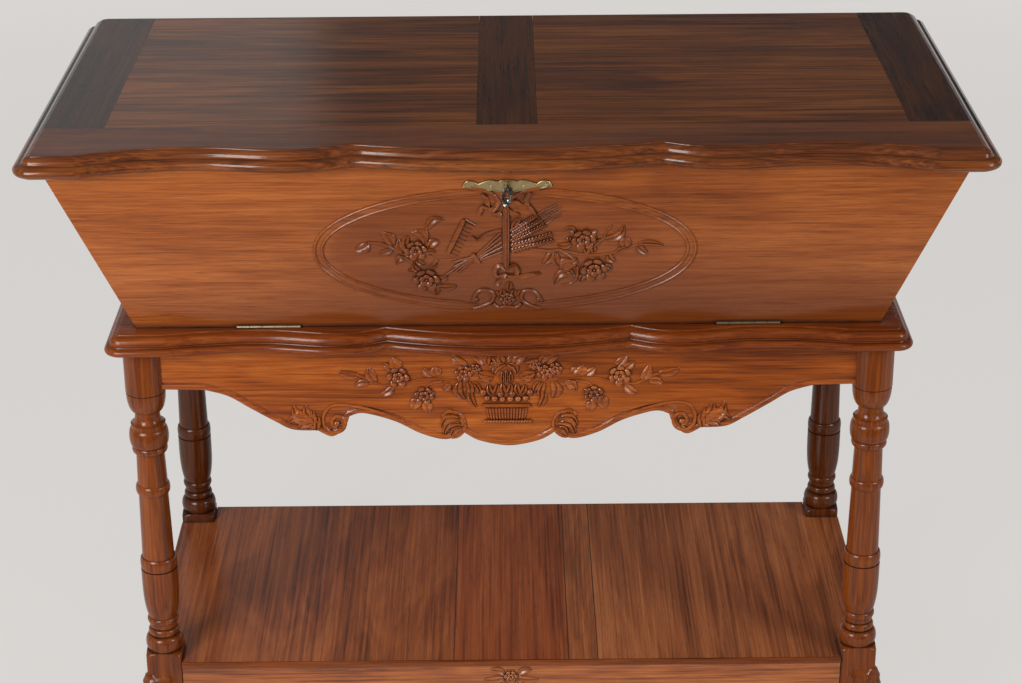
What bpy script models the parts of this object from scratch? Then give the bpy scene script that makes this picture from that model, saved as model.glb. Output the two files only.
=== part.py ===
"""A Provencal walnut dough bin table: a sloping trough with a fall front, on a turned stand.

Sizes are in metres. +Z is up, the front faces -Y and the floor is at Z = 0.
"""
import math
from dataclasses import dataclass

import bmesh
import bpy
from mathutils import Matrix, Vector

# Clearances
GAP = 0.0003
PIN_PLAY = 0.0002
KEY_PLAY = 0.0005
BOLT_PLAY = 0.0008
REACH = 0.020

# Lid
LID_WIDTH = 1.300
LID_DEPTH = 0.660
LID_THICK = 0.030
LID_OVERHANG_SIDE = 0.030
LID_OVERHANG_FRONT = 0.052
LID_CORNER_RADIUS = 0.020
LID_STRAIGHT_END = 0.060
LID_RAIL_DEPTH = 0.135
LID_END_WIDTH = 0.105
LID_MUNTIN_WIDTH = 0.082
TONGUE_DEPTH = 0.008
TONGUE_THICK = 0.010
TONGUE_STOP = 0.035
CLEAT_WIDTH = 0.030
CLEAT_DROP = 0.025
CLEAT_LENGTH = 0.340
CLEAT_SETBACK = 0.035

# Trough
TROUGH_HEIGHT = 0.249
SIDE_FLARE = 0.1035
FRONT_FLARE = 0.0468
WALL_THICK = 0.0224
FLOOR_THICK = 0.018
TROUGH_LEDGE = 0.0427
HEEL_RELIEF = 0.001

# Tray
TRAY_THICK = 0.028
TRAY_RAIL_WIDTH = 0.105
TRAY_OVERHANG_SIDE = 0.047
TRAY_OVERHANG_FRONT = 0.057
TRAY_CORNER_RADIUS = 0.020
TRAY_STRAIGHT_END = 0.064

# Turned legs
TURN_STEPS = 12
SMALL_STEPS = 8
CURVE_STEPS = 4
BEAD_STEPS = 3
DRUM_RADIUS = 0.0283
DRUM_HEIGHT = 0.0727
DRUM_SHOULDER = 0.0253
BLOCK_WIDTH = 0.052
BLOCK_TOP_Z = 0.201
BLOCK_BOTTOM_Z = 0.108
COLUMN_SINK = 0.002
COLUMN_ROOT = 0.020
COLUMN_ROOT_RADIUS = 0.018
FOOT_PAD_RADIUS = 0.016
FOOT_PAD_HEIGHT = 0.012
FOOT_PAD_KICK = 0.011

# Aprons and shelf
APRON_THICK = 0.020
APRON_PROUD = 0.012
APRON_END_DROP = 0.068
APRON_FRONT_DROP = 0.160
APRON_SIDE_DROP = 0.105
APRON_BACK_DROP = 0.085
TENON_THICK = 0.012
TENON_LENGTH = 0.012
TENON_INSET = 0.012
SHELF_TOP_Z = 0.187
SHELF_THICK = 0.010
SHELF_SEAM_LEFT = -0.085
SHELF_SEAM_STRIP = 0.085
SHELF_SEAM_RIGHT = 0.128
LOWER_SETBACK = 0.002
LOWER_END_DROP = 0.060
LOWER_FRONT_DROP = 0.090
LOWER_SIDE_DROP = 0.075

# Hinges
HINGE_LENGTH = 0.088
HINGE_INSET = 0.1845
HINGE_KNUCKLES = 5
KNUCKLE_RADIUS = 0.0027
HINGE_PIN_RADIUS = 0.0011
LEAF_WIDTH = 0.018
LEAF_THICK = 0.0015
AXIS_RISE = 0.0012
SCREW_SPACING = 0.056
SCREW_SETBACK = 0.012
SCREW_RADIUS = 0.0012
SCREW_LENGTH = 0.011
SCREW_HEAD_RADIUS = 0.0026

# Lock, key and escutcheon
LOCK_WIDTH = 0.060
LOCK_HEIGHT = 0.045
LOCK_DEPTH = 0.0135
LOCK_TOP_SETBACK = 0.005
LOCK_BACK_SETBACK = 0.0005
BOLT_WIDTH = 0.024
BOLT_THICK = 0.007
BOLT_LENGTH = 0.043
BOLT_TOP_SETBACK = 0.005
BOLT_TRAVEL = 0.010
BOLT_WINDOW_WIDTH = 0.018
BOLT_WINDOW_LOW = 0.012
BOLT_WINDOW_HIGH = 0.0024
STRIKE_WIDTH = 0.064
STRIKE_DEPTH = 0.018
STRIKE_THICK = 0.0015
KEYHOLE_DROP = 0.030
KEY_SHANK_RADIUS = 0.002
KEY_PROUD = 0.038
KEY_BOW_RADIUS = 0.0095
KEY_BOW_WIRE = 0.0018
KEY_BOW_TURN = math.radians(35)
KEY_BIT_LENGTH = 0.007
KEY_BIT_THICK = 0.002
KEYHOLE_SLOT = 0.008
ESCUTCHEON_HALF_WIDTH = 0.0605
ESCUTCHEON_RISE = 0.0102
ESCUTCHEON_THICK = 0.0012
NAIL_OFFSETS = (-0.052, -0.021, 0.021, 0.052)
NAIL_RADIUS = 0.0008
NAIL_HEAD_RADIUS = 0.0016
NAIL_LENGTH = 0.008

# Colour, roughness and metallic value of each material
FINISHES = {
    "walnut": ((0.30, 0.115, 0.045), 0.35, 0.0),
    "dark_walnut": ((0.13, 0.055, 0.026), 0.32, 0.0),
    "poplar": ((0.38, 0.24, 0.13), 0.65, 0.0),
    "brass": ((0.50, 0.38, 0.17), 0.40, 1.0),
    "iron": ((0.20, 0.19, 0.18), 0.50, 1.0),
    "steel": ((0.62, 0.62, 0.60), 0.30, 1.0),
}


@dataclass(frozen=True)
class Serpentine:
    """Set-backs of a shaped front edge from the line of its straight ends, at stations from the centre."""

    bow: float
    cusp_x: float
    cusp: float
    bulge_x: float
    bulge: float
    hollow_x: float
    hollow: float


@dataclass(frozen=True)
class Turning:
    """One turned member: its shape, the radius it starts from, the radius it reaches and its height."""

    shape: str
    start: float
    reach: float
    height: float


@dataclass(frozen=True)
class FootSection:
    """One square section of the cabriole foot: its height, half width and outward kick."""

    z: float
    half: float
    kick: float


LID_FRONT = Serpentine(
    bow=0.0165, cusp_x=0.206, cusp=0.046, bulge_x=0.291, bulge=0.0185, hollow_x=0.415, hollow=0.031
)
TRAY_FRONT = Serpentine(
    bow=-0.006, cusp_x=0.168, cusp=0.019, bulge_x=0.233, bulge=0.0005, hollow_x=0.345, hollow=0.0145
)

LEG_TURNINGS = (
    Turning("line", DRUM_RADIUS, DRUM_RADIUS, DRUM_HEIGHT),
    Turning("line", 0.0265, 0.0265, 0.0015),
    Turning("quarter", 0.0279, 0.0180, 0.0305),
    Turning("line", 0.0180, 0.0178, 0.0055),
    Turning("quarter", 0.0178, 0.0247, 0.0126),
    Turning("line", 0.0240, 0.0240, 0.0060),
    Turning("bead", 0.0240, 0.0280, 0.0291),
    Turning("bead", 0.0225, 0.0252, 0.0101),
    Turning("line", 0.0200, 0.0214, 0.0505),
    Turning("bead", 0.0214, 0.0246, 0.0161),
    Turning("line", 0.0211, 0.0231, 0.1034),
    Turning("bead", 0.0245, 0.0267, 0.0199),
    Turning("vase", 0.0264, 0.0205, 0.0792),
    Turning("bead", 0.0200, 0.0228, 0.0103),
    Turning("quarter", 0.0205, 0.0184, 0.0084),
    Turning("bead", 0.0190, 0.0225, 0.0120),
    Turning("bead", 0.0215, 0.0275, 0.0256),
)

FOOT_SECTIONS = (
    FootSection(0.178, 0.023, 0.000),
    FootSection(0.150, 0.031, 0.004),
    FootSection(0.115, 0.031, 0.008),
    FootSection(0.075, 0.021, 0.007),
    FootSection(0.040, 0.016, 0.003),
    FootSection(0.018, 0.021, 0.009),
    FootSection(0.004, 0.019, 0.011),
)

# Lower edges of the aprons from the middle to one end: share of the half length, share of the extra drop.
# A new run starts at each cusp.
FRONT_CONTOUR = (
    ((0.0, 1.0), (0.086, 0.913), (0.132, 0.772)),
    ((0.132, 0.772), (0.185, 0.886), (0.257, 0.783), (0.332, 0.571), (0.421, 0.429), (0.463, 0.478)),
    ((0.463, 0.478), (0.477, 0.652), (0.514, 0.821), (0.557, 0.717)),
    ((0.557, 0.717), (0.629, 0.696), (0.680, 0.554), (0.750, 0.326), (0.812, 0.120), (0.878, 0.015)),
)
SIDE_CONTOUR = (
    ((0.0, 1.0), (0.20, 0.85), (0.32, 0.55)),
    ((0.32, 0.55), (0.44, 0.72), (0.62, 0.50), (0.76, 0.15), (0.88, 0.03)),
)
PLAIN_CONTOUR = (((0.0, 1.0), (0.40, 0.85), (0.70, 0.25), (0.88, 0.05)),)

# Upper right half of the escutcheon, then its lower right half: shares of its half width and of its rise.
ESCUTCHEON_TOP = (
    ((0.0, 1.0), (0.13, 0.93), (0.21, 0.75), (0.36, 0.94), (0.53, 0.66), (0.66, 0.30)),
    ((0.66, 0.30), (0.76, 0.74), (0.87, 0.84), (0.94, 0.58), (1.0, -0.06)),
)
ESCUTCHEON_BOTTOM = (
    ((1.0, -0.06), (0.91, 0.05), (0.81, -0.25), (0.66, -0.44), (0.49, -0.66)),
    ((0.49, -0.66), (0.33, -0.58), (0.165, -0.84), (0.0, -0.91)),
)

# Places that follow from the sizes above
LEG_HEIGHT = sum(turning.height for turning in LEG_TURNINGS)
LEG_TOP_Z = BLOCK_TOP_Z - COLUMN_SINK + LEG_HEIGHT
TRAY_BOTTOM_Z = LEG_TOP_Z + GAP
TRAY_TOP_Z = TRAY_BOTTOM_Z + TRAY_THICK
TROUGH_BASE_Z = TRAY_TOP_Z + GAP
TROUGH_TOP_Z = TROUGH_BASE_Z + TROUGH_HEIGHT
LID_BOTTOM_Z = TROUGH_TOP_Z + GAP
LID_MIDDLE_Z = LID_BOTTOM_Z + LID_THICK / 2
SHELF_BOTTOM_Z = SHELF_TOP_Z - SHELF_THICK

LID_HALF = LID_WIDTH / 2
LID_FRONT_Y = -LID_DEPTH / 2
LID_BACK_Y = LID_DEPTH / 2
LID_SEAM_Y = LID_FRONT_Y + LID_RAIL_DEPTH
LID_END_X = LID_HALF - LID_END_WIDTH
LID_MUNTIN_X = LID_MUNTIN_WIDTH / 2

TOP_HALF_X = LID_HALF - LID_OVERHANG_SIDE
TOP_HALF_Y = LID_DEPTH / 2 - LID_OVERHANG_FRONT
BASE_HALF_X = TOP_HALF_X - SIDE_FLARE
BASE_HALF_Y = TOP_HALF_Y - FRONT_FLARE
TRAY_HALF_X = BASE_HALF_X + TROUGH_LEDGE
TRAY_HALF_Y = BASE_HALF_Y + TROUGH_LEDGE
LEG_X = TRAY_HALF_X - TRAY_OVERHANG_SIDE
LEG_Y = TRAY_HALF_Y - TRAY_OVERHANG_FRONT
BLOCK_HALF = BLOCK_WIDTH / 2

FRONT_LEAN = math.atan2(FRONT_FLARE, TROUGH_HEIGHT)
FRONT_LENGTH = math.hypot(FRONT_FLARE, TROUGH_HEIGHT)
FRONT_DEPTH = WALL_THICK * math.cos(FRONT_LEAN)
FRONT_FOOT = Vector((0.0, -BASE_HALF_Y, TROUGH_BASE_Z))
HINGE_AXIS = Vector((0.0, -BASE_HALF_Y - KNUCKLE_RADIUS - GAP, TRAY_TOP_Z + AXIS_RISE))
HINGE_CENTRE_X = BASE_HALF_X - HINGE_INSET
KEYHOLE_S = FRONT_LENGTH - KEYHOLE_DROP
BOLT_MID_DEPTH = FRONT_DEPTH - LOCK_BACK_SETBACK - LOCK_DEPTH / 2

PARTS_NAME = "dough_bin_table"
CUTTERS_NAME = "cutters"


def start_scene():
    """Empty the scene and add one collection for the pieces and one for the cutters."""
    for old in list(bpy.data.objects):
        bpy.data.objects.remove(old)
    for name in (PARTS_NAME, CUTTERS_NAME):
        collection = bpy.data.collections.new(name)
        bpy.context.scene.collection.children.link(collection)


def place(obj, finish=None):
    """Link an object as a piece with its own material, or as a cutter where it has no finish."""
    if finish is None:
        bpy.data.collections[CUTTERS_NAME].objects.link(obj)
        obj.hide_render = True
        obj.display_type = "WIRE"
        return obj
    bpy.data.collections[PARTS_NAME].objects.link(obj)
    colour, roughness, metallic = FINISHES[finish]
    material = bpy.data.materials.new(f"{obj.name}_{finish}")
    material.use_nodes = True
    shader = material.node_tree.nodes["Principled BSDF"]
    shader.inputs["Base Color"].default_value = (*colour, 1.0)
    shader.inputs["Roughness"].default_value = roughness
    shader.inputs["Metallic"].default_value = metallic
    obj.data.materials.append(material)
    return obj


def mesh_object(name, bm, finish=None):
    """Make an object of a bmesh."""
    mesh = bpy.data.meshes.new(name)
    bm.to_mesh(mesh)
    bm.free()
    return place(bpy.data.objects.new(name, mesh), finish)


def box(name, low, high, finish=None):
    """Make a box between two corners."""
    low = Vector(low)
    high = Vector(high)
    bm = bmesh.new()
    bmesh.ops.create_cube(bm, size=1.0)
    bmesh.ops.scale(bm, vec=high - low, verts=bm.verts)
    bmesh.ops.translate(bm, vec=(low + high) / 2, verts=bm.verts)
    return mesh_object(name, bm, finish)


def span_box(name, side, inner, outer, y_span, z_span, finish=None):
    """Make a box between two distances from the middle, on the left (-1) or the right (1)."""
    x_low, x_high = sorted((side * inner, side * outer))
    return box(name, (x_low, y_span[0], z_span[0]), (x_high, y_span[1], z_span[1]), finish)


def rod(name, radius, start, end, axis="Z", top_radius=None, steps=SMALL_STEPS, finish=None):
    """Make a round bar, or a cone with a top radius, along one axis from start to end."""
    turn = {"X": Matrix.Rotation(math.pi / 2, 4, "Y"), "Y": Matrix.Rotation(-math.pi / 2, 4, "X")}
    bm = bmesh.new()
    bmesh.ops.create_cone(
        bm,
        cap_ends=True,
        segments=steps,
        radius1=radius,
        radius2=radius if top_radius is None else top_radius,
        depth=end - start,
    )
    bmesh.ops.translate(bm, vec=(0, 0, (start + end) / 2), verts=bm.verts)
    bm.transform(turn.get(axis, Matrix.Identity(4)))
    return mesh_object(name, bm, finish)


def sloped_board(name, base, top, z_base, z_top, finish):
    """Make a board whose plan runs from a base rectangle (x low, x high, y low, y high) to a top one."""
    bm = bmesh.new()
    bmesh.ops.create_cube(bm, size=1.0)
    for vert in bm.verts:
        x_low, x_high, y_low, y_high = top if vert.co.z > 0 else base
        x = x_high if vert.co.x > 0 else x_low
        y = y_high if vert.co.y > 0 else y_low
        vert.co = (x, y, z_top if vert.co.z > 0 else z_base)
    return mesh_object(name, bm, finish)


def flat_outline(name, points, low, high, upright=False, finish=None):
    """Fill a closed outline and give it thickness from low to high, along Z or, if upright, along Y."""
    curve = bpy.data.curves.new(name, "CURVE")
    curve.dimensions = "2D"
    curve.fill_mode = "BOTH"
    curve.extrude = (high - low) / 2
    spline = curve.splines.new("POLY")
    spline.points.add(len(points) - 1)
    for corner, (x, y) in zip(spline.points, points):
        corner.co = (x, y, 0.0, 1.0)
    spline.use_cyclic_u = True
    drawing = bpy.data.objects.new(f"{name}_outline", curve)
    bpy.context.scene.collection.objects.link(drawing)
    drawn = drawing.evaluated_get(bpy.context.evaluated_depsgraph_get())
    flat = bpy.data.meshes.new_from_object(drawn)
    bm = bmesh.new()
    bm.from_mesh(flat)
    bpy.data.objects.remove(drawing)
    bpy.data.meshes.remove(flat)
    bmesh.ops.remove_doubles(bm, verts=bm.verts, dist=1e-6)
    bmesh.ops.translate(bm, vec=(0, 0, (low + high) / 2), verts=bm.verts)
    if upright:
        bm.transform(Matrix(((1, 0, 0, 0), (0, 0, 1, 0), (0, 1, 0, 0), (0, 0, 0, 1))))
    bmesh.ops.recalc_face_normals(bm, faces=bm.faces)
    return mesh_object(name, bm, finish)


def turned(name, profile, steps, finish=None):
    """Turn a profile of (radius, height) points, listed from the top down, about the Z axis."""
    bm = bmesh.new()
    verts = [bm.verts.new((radius, 0.0, z)) for radius, z in profile]
    for upper, lower in zip(verts, verts[1:]):
        bm.edges.new((upper, lower))
    mesh = bpy.data.meshes.new(name)
    bm.to_mesh(mesh)
    bm.free()
    obj = place(bpy.data.objects.new(name, mesh), finish)
    screw = obj.modifiers.new("turning", "SCREW")
    screw.axis = "Z"
    screw.steps = steps
    screw.render_steps = steps
    screw.use_merge_vertices = True
    screw.merge_threshold = 1e-5
    screw.use_smooth_shade = True
    return obj


def combine(target, operation, tools):
    """Cut tools from a target, or fuse them to it."""
    for tool in tools:
        modifier = target.modifiers.new(f"{operation.lower()}_{tool.name}", "BOOLEAN")
        modifier.operation = operation
        modifier.solver = "EXACT"
        modifier.object = tool
    return target


def cut(target, *tools):
    """Cut tools out of a target."""
    return combine(target, "DIFFERENCE", tools)


def fuse(target, *tools):
    """Fuse tools to a target."""
    return combine(target, "UNION", tools)


def set_origin(obj, point):
    """Move an object's origin to a point, with its shape left where it is."""
    obj.data.transform(Matrix.Translation(-Vector(point)))
    obj.location = point
    return obj


def hang(pieces):
    """Hang the pieces that swing with the fall front on an empty at the hinge axis."""
    pivot = bpy.data.objects.new("fall_front_pivot", None)
    pivot.location = HINGE_AXIS
    bpy.data.collections[PARTS_NAME].objects.link(pivot)
    for piece in pieces:
        piece.parent = pivot
        piece.matrix_parent_inverse = Matrix.Translation(-HINGE_AXIS)


def on_front(obj):
    """Stand an object drawn in the fall front's frame (x, depth behind its face, way up it) on the board."""
    obj.location = FRONT_FOOT
    obj.rotation_euler = (FRONT_LEAN, 0.0, 0.0)
    return obj


def in_front_frame(x, depth, s):
    """Return the world place of a point in the fall front's frame."""
    return FRONT_FOOT + Matrix.Rotation(FRONT_LEAN, 3, "X") @ Vector((x, depth, s))


def curve_through(points, steps=CURVE_STEPS):
    """Return a smooth line through points, with steps between each pair."""
    ends = [points[0], *points, points[-1]]
    line = []
    for before, start, end, after in zip(ends, ends[1:], ends[2:], ends[3:]):
        p0, p1, p2, p3 = (Vector(p) for p in (before, start, end, after))
        for step in range(steps):
            t = step / steps
            slope = p2 - p0
            square = 2 * p0 - 5 * p1 + 4 * p2 - p3
            cube = 3 * p1 - p0 - 3 * p2 + p3
            line.append(p1 + (slope * t + square * t ** 2 + cube * t ** 3) / 2)
    line.append(Vector(points[-1]))
    return line


def curve_runs(runs, steps=CURVE_STEPS):
    """Join smooth runs that meet at cusps into one line."""
    line = []
    for run in runs:
        line.extend(curve_through(run, steps)[:-1])
    line.append(Vector(runs[-1][-1]))
    return line


def spread(start, end, steps):
    """Return values from start to end, with the end left out."""
    return [start + (end - start) * step / steps for step in range(steps)]


def serpentine_line(plan, end_x):
    """Return (x, set-back) points of a shaped front edge from its middle to the end of the curve."""
    line = []
    for x in spread(0.0, plan.cusp_x, 5):
        line.append((x, plan.bow + (plan.cusp - plan.bow) * (x / plan.cusp_x) ** 2))
    for x in spread(plan.cusp_x, plan.bulge_x, 4):
        share = (plan.bulge_x - x) / (plan.bulge_x - plan.cusp_x)
        line.append((x, plan.bulge + (plan.cusp - plan.bulge) * share ** 2))
    for x in spread(plan.bulge_x, plan.hollow_x, 4):
        share = (x - plan.bulge_x) / (plan.hollow_x - plan.bulge_x)
        line.append((x, plan.bulge + (plan.hollow - plan.bulge) * (1 - math.cos(math.pi * share)) / 2))
    for x in spread(plan.hollow_x, end_x, 4):
        share = (x - plan.hollow_x) / (end_x - plan.hollow_x)
        line.append((x, plan.hollow * (1 - share ** 2)))
    line.append((end_x, 0.0))
    return line


def serpentine_board(name, plan, half_width, front_y, back_y, radius, straight, low, high, finish):
    """Make a board with a serpentine front edge and rounded front corners."""
    right = [(x, front_y + back) for x, back in serpentine_line(plan, half_width - radius - straight)]
    for step in range(CURVE_STEPS + 1):
        angle = math.pi / 2 * step / CURVE_STEPS
        x = half_width - radius + radius * math.sin(angle)
        y = front_y + radius - radius * math.cos(angle)
        right.append((x, y))
    right.append((half_width, back_y))
    left = [(-x, y) for x, y in reversed(right[1:])]
    return flat_outline(name, right + left, low, high, finish=finish)


def sized_runs(runs, half_width, rise):
    """Return runs of shares as points of the real size."""
    return [(point.x * half_width, point.y * rise) for point in curve_runs(runs, 2)]


def lid():
    """Make the lid: front rail, end clamps, muntin, two flush panels tongued between them, and cleats."""
    low = LID_BOTTOM_Z
    high = LID_BOTTOM_Z + LID_THICK
    tongue_low = LID_MIDDLE_Z - TONGUE_THICK / 2
    tongue_high = LID_MIDDLE_Z + TONGUE_THICK / 2
    rail = serpentine_board(
        "lid_front_rail", LID_FRONT, LID_HALF, LID_FRONT_Y, LID_SEAM_Y,
        LID_CORNER_RADIUS, LID_STRAIGHT_END, low, high, "dark_walnut",
    )
    groove_low = tongue_low - GAP
    groove_high = tongue_high + GAP
    stop_x = LID_HALF - TONGUE_STOP
    groove_y = LID_SEAM_Y - TONGUE_DEPTH - GAP
    rail_groove = box(
        "rail_groove", (-stop_x - GAP, groove_y, groove_low), (stop_x + GAP, LID_SEAM_Y + REACH, groove_high)
    )
    cut(rail, rail_groove)

    panel_front = LID_SEAM_Y + GAP
    depth = (panel_front, LID_BACK_Y)
    height = (low, high)
    muntin_low = (-LID_MUNTIN_X, panel_front, low)
    muntin = box("lid_muntin", muntin_low, (LID_MUNTIN_X, LID_BACK_Y, high), "dark_walnut")
    tongue_front = LID_SEAM_Y - TONGUE_DEPTH
    tongue_back = panel_front + TONGUE_DEPTH
    muntin_tongue_x = LID_MUNTIN_X - TONGUE_DEPTH - 2 * GAP
    muntin_tongue = box(
        "muntin_tongue", (-muntin_tongue_x, tongue_front, tongue_low),
        (muntin_tongue_x, tongue_back, tongue_high),
    )
    fuse(muntin, muntin_tongue)
    for side, word in ((-1, "left"), (1, "right")):
        inner = LID_MUNTIN_X + GAP
        outer = LID_END_X - GAP
        panel = span_box(f"lid_panel_{word}", side, inner, outer, depth, height, "dark_walnut")
        panel_tongue = span_box(
            f"panel_tongue_{word}", side, inner - TONGUE_DEPTH, outer + TONGUE_DEPTH,
            (tongue_front, LID_BACK_Y), (tongue_low, tongue_high),
        )
        fuse(panel, panel_tongue)
        groove = span_box(
            f"panel_groove_{word}", side, inner - TONGUE_DEPTH - GAP, outer + TONGUE_DEPTH + GAP,
            (tongue_front - GAP, LID_BACK_Y + REACH), (groove_low, groove_high),
        )
        cut(muntin, groove)
        end = span_box(f"lid_end_{word}", side, LID_END_X, LID_HALF, depth, height, "dark_walnut")
        end_tongue = span_box(
            f"end_tongue_{word}", side, LID_END_X + TONGUE_DEPTH + 2 * GAP, stop_x,
            (tongue_front, tongue_back), (tongue_low, tongue_high),
        )
        fuse(end, end_tongue)
        cut(end, groove)
        cleat_x = TOP_HALF_X - WALL_THICK - CLEAT_SETBACK
        span_box(
            f"lid_cleat_{word}", side, cleat_x - CLEAT_WIDTH / 2, cleat_x + CLEAT_WIDTH / 2,
            (-CLEAT_LENGTH / 2, CLEAT_LENGTH / 2), (low - GAP - CLEAT_DROP, low - GAP), "poplar",
        )
    return rail


def trough():
    """Make the sloping back, ends and floor of the trough, and the fall front with its eased heel."""
    wall_in = WALL_THICK + GAP
    base_in = BASE_HALF_Y - WALL_THICK
    top_in = TOP_HALF_Y - WALL_THICK
    front = sloped_board(
        "fall_front",
        (-BASE_HALF_X, BASE_HALF_X, -BASE_HALF_Y, -base_in),
        (-TOP_HALF_X, TOP_HALF_X, -TOP_HALF_Y, -top_in),
        TROUGH_BASE_Z, TROUGH_TOP_Z, "walnut",
    )
    heel_y = -base_in - HEEL_RELIEF
    heel = box(
        "front_heel", (-TOP_HALF_X, heel_y, TROUGH_BASE_Z - REACH),
        (TOP_HALF_X, heel_y + REACH, TROUGH_BASE_Z + REACH),
    )
    cut(front, heel)
    sloped_board(
        "trough_back",
        (-BASE_HALF_X, BASE_HALF_X, base_in, BASE_HALF_Y),
        (-TOP_HALF_X, TOP_HALF_X, top_in, TOP_HALF_Y),
        TROUGH_BASE_Z, TROUGH_TOP_Z, "walnut",
    )
    base_y = BASE_HALF_Y - wall_in
    top_y = TOP_HALF_Y - wall_in
    for side, word in ((-1, "left"), (1, "right")):
        base_x = sorted((side * BASE_HALF_X, side * (BASE_HALF_X - WALL_THICK)))
        top_x = sorted((side * TOP_HALF_X, side * (TOP_HALF_X - WALL_THICK)))
        sloped_board(
            f"trough_end_{word}", (*base_x, -base_y, base_y), (*top_x, -top_y, top_y),
            TROUGH_BASE_Z, TROUGH_TOP_Z, "walnut",
        )
    rise = FLOOR_THICK / TROUGH_HEIGHT
    floor_x = BASE_HALF_X - wall_in
    floor_top_x = floor_x + SIDE_FLARE * rise
    floor_top_y = base_y + FRONT_FLARE * rise
    sloped_board(
        "trough_floor", (-floor_x, floor_x, -base_y + GAP, base_y - GAP),
        (-floor_top_x, floor_top_x, -floor_top_y + GAP, floor_top_y - GAP),
        TROUGH_BASE_Z, TROUGH_BASE_Z + FLOOR_THICK, "poplar",
    )
    return set_origin(front, HINGE_AXIS)


def tray():
    """Make the moulded frame that the trough stands on."""
    low = TRAY_BOTTOM_Z
    high = TRAY_TOP_Z
    inner_x = TRAY_HALF_X - TRAY_RAIL_WIDTH
    inner_y = TRAY_HALF_Y - TRAY_RAIL_WIDTH
    front = serpentine_board(
        "tray_front", TRAY_FRONT, TRAY_HALF_X, -TRAY_HALF_Y, -inner_y,
        TRAY_CORNER_RADIUS, TRAY_STRAIGHT_END, low, high, "walnut",
    )
    for side, word in ((-1, "left"), (1, "right")):
        depth = (-inner_y + GAP, TRAY_HALF_Y)
        span_box(f"tray_{word}", side, inner_x, TRAY_HALF_X, depth, (low, high), "walnut")
    box("tray_back", (-inner_x + GAP, inner_y, low), (inner_x - GAP, TRAY_HALF_Y, high), "walnut")
    return front


def apron(name, runs, turn, half_length, inner_distance, top_z, end_drop, middle_drop, housed):
    """Make one apron with a tenon at each end, and return the cutters that fit it to the legs."""
    extra = middle_drop - end_drop
    right = [(x * half_length, top_z - end_drop - drop * extra) for x, drop in curve_runs(runs)]
    right.append((half_length, top_z - end_drop))
    right.append((half_length, top_z))
    outline = right + [(-x, z) for x, z in reversed(right) if x > 0]
    board = flat_outline(name, outline, -APRON_THICK, 0.0, upright=True, finish="walnut")
    tenon_low = top_z - end_drop + TENON_INSET
    tenon_high = top_z - TENON_INSET
    middle = -APRON_THICK / 2
    fitted = [board]
    cutters = {}
    for side, end in ((-1, "start"), (1, "finish")):
        tip = half_length + TENON_LENGTH
        tenon = span_box(
            f"{name}_tenon_{end}", side, half_length - TENON_LENGTH, tip,
            (middle - TENON_THICK / 2, middle + TENON_THICK / 2), (tenon_low, tenon_high),
        )
        mortise = span_box(
            f"{name}_mortise_{end}", side, half_length - REACH, tip + GAP,
            (middle - TENON_THICK / 2 - GAP, middle + TENON_THICK / 2 + GAP),
            (tenon_low - GAP, tenon_high + GAP),
        )
        fuse(board, tenon)
        made = [mortise]
        if housed:
            housing = span_box(
                f"{name}_housing_{end}", side, half_length - REACH, half_length + GAP,
                (-APRON_THICK - GAP, GAP), (top_z - end_drop - GAP, top_z + REACH),
            )
            made.append(housing)
        corner = Matrix.Rotation(turn, 3, "Z") @ Vector((side * half_length, -inner_distance, 0))
        cutters[(math.copysign(1, corner.x), math.copysign(1, corner.y))] = made
        fitted += [tenon, *made]
    for obj in fitted:
        obj.location = Matrix.Rotation(turn, 3, "Z") @ Vector((0, -inner_distance, 0))
        obj.rotation_euler = (0, 0, turn)
    return cutters


def aprons():
    """Make the upper and lower aprons, and return the cutters for each leg by its place."""
    quarter = math.pi / 2
    upper_in = APRON_THICK - APRON_PROUD
    lower_in = BLOCK_HALF - LOWER_SETBACK - APRON_THICK
    made = (
        ("front", FRONT_CONTOUR, 0.0, LEG_X, LEG_Y, APRON_FRONT_DROP, LOWER_FRONT_DROP),
        ("right", SIDE_CONTOUR, quarter, LEG_Y, LEG_X, APRON_SIDE_DROP, LOWER_SIDE_DROP),
        ("back", PLAIN_CONTOUR, 2 * quarter, LEG_X, LEG_Y, APRON_BACK_DROP, LOWER_SIDE_DROP),
        ("left", SIDE_CONTOUR, -quarter, LEG_Y, LEG_X, APRON_SIDE_DROP, LOWER_SIDE_DROP),
    )
    cutters = {}
    for word, runs, turn, along, across, drop, lower_drop in made:
        upper = apron(
            f"apron_{word}", runs, turn, along - DRUM_SHOULDER, across - upper_in,
            LEG_TOP_Z, APRON_END_DROP, drop, True,
        )
        lower = apron(
            f"lower_apron_{word}", SIDE_CONTOUR, turn, along - BLOCK_HALF - GAP, across + lower_in,
            SHELF_BOTTOM_Z - GAP, LOWER_END_DROP, lower_drop, False,
        )
        for corner in upper:
            cutters.setdefault(corner, []).extend(upper[corner] + lower[corner])
    return cutters


def swell(shape, t):
    """Return how far a turned member has gone from its start radius to its reach, at share t down it."""
    if shape == "bead":
        return math.sqrt(max(0.0, 1 - (2 * t - 1) ** 2))
    if shape == "quarter":
        return 1 - math.sqrt(max(0.0, 1 - t * t))
    if shape == "vase":
        return t ** 4
    return t


def leg_profile():
    """Return the leg's turned profile from its top down, closed on its axis at both ends."""
    z = LEG_TOP_Z
    points = [(0.0, z)]
    for turning in LEG_TURNINGS:
        steps = 1 if turning.shape == "line" else BEAD_STEPS
        for step in range(steps + 1):
            t = step / steps
            radius = turning.start + (turning.reach - turning.start) * swell(turning.shape, t)
            point = (radius, z - turning.height * t)
            if math.dist(point, points[-1]) > GAP / 2:
                points.append(point)
        z -= turning.height
    points.append((COLUMN_ROOT_RADIUS, z - COLUMN_ROOT))
    points.append((0.0, z - COLUMN_ROOT))
    return points


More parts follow.
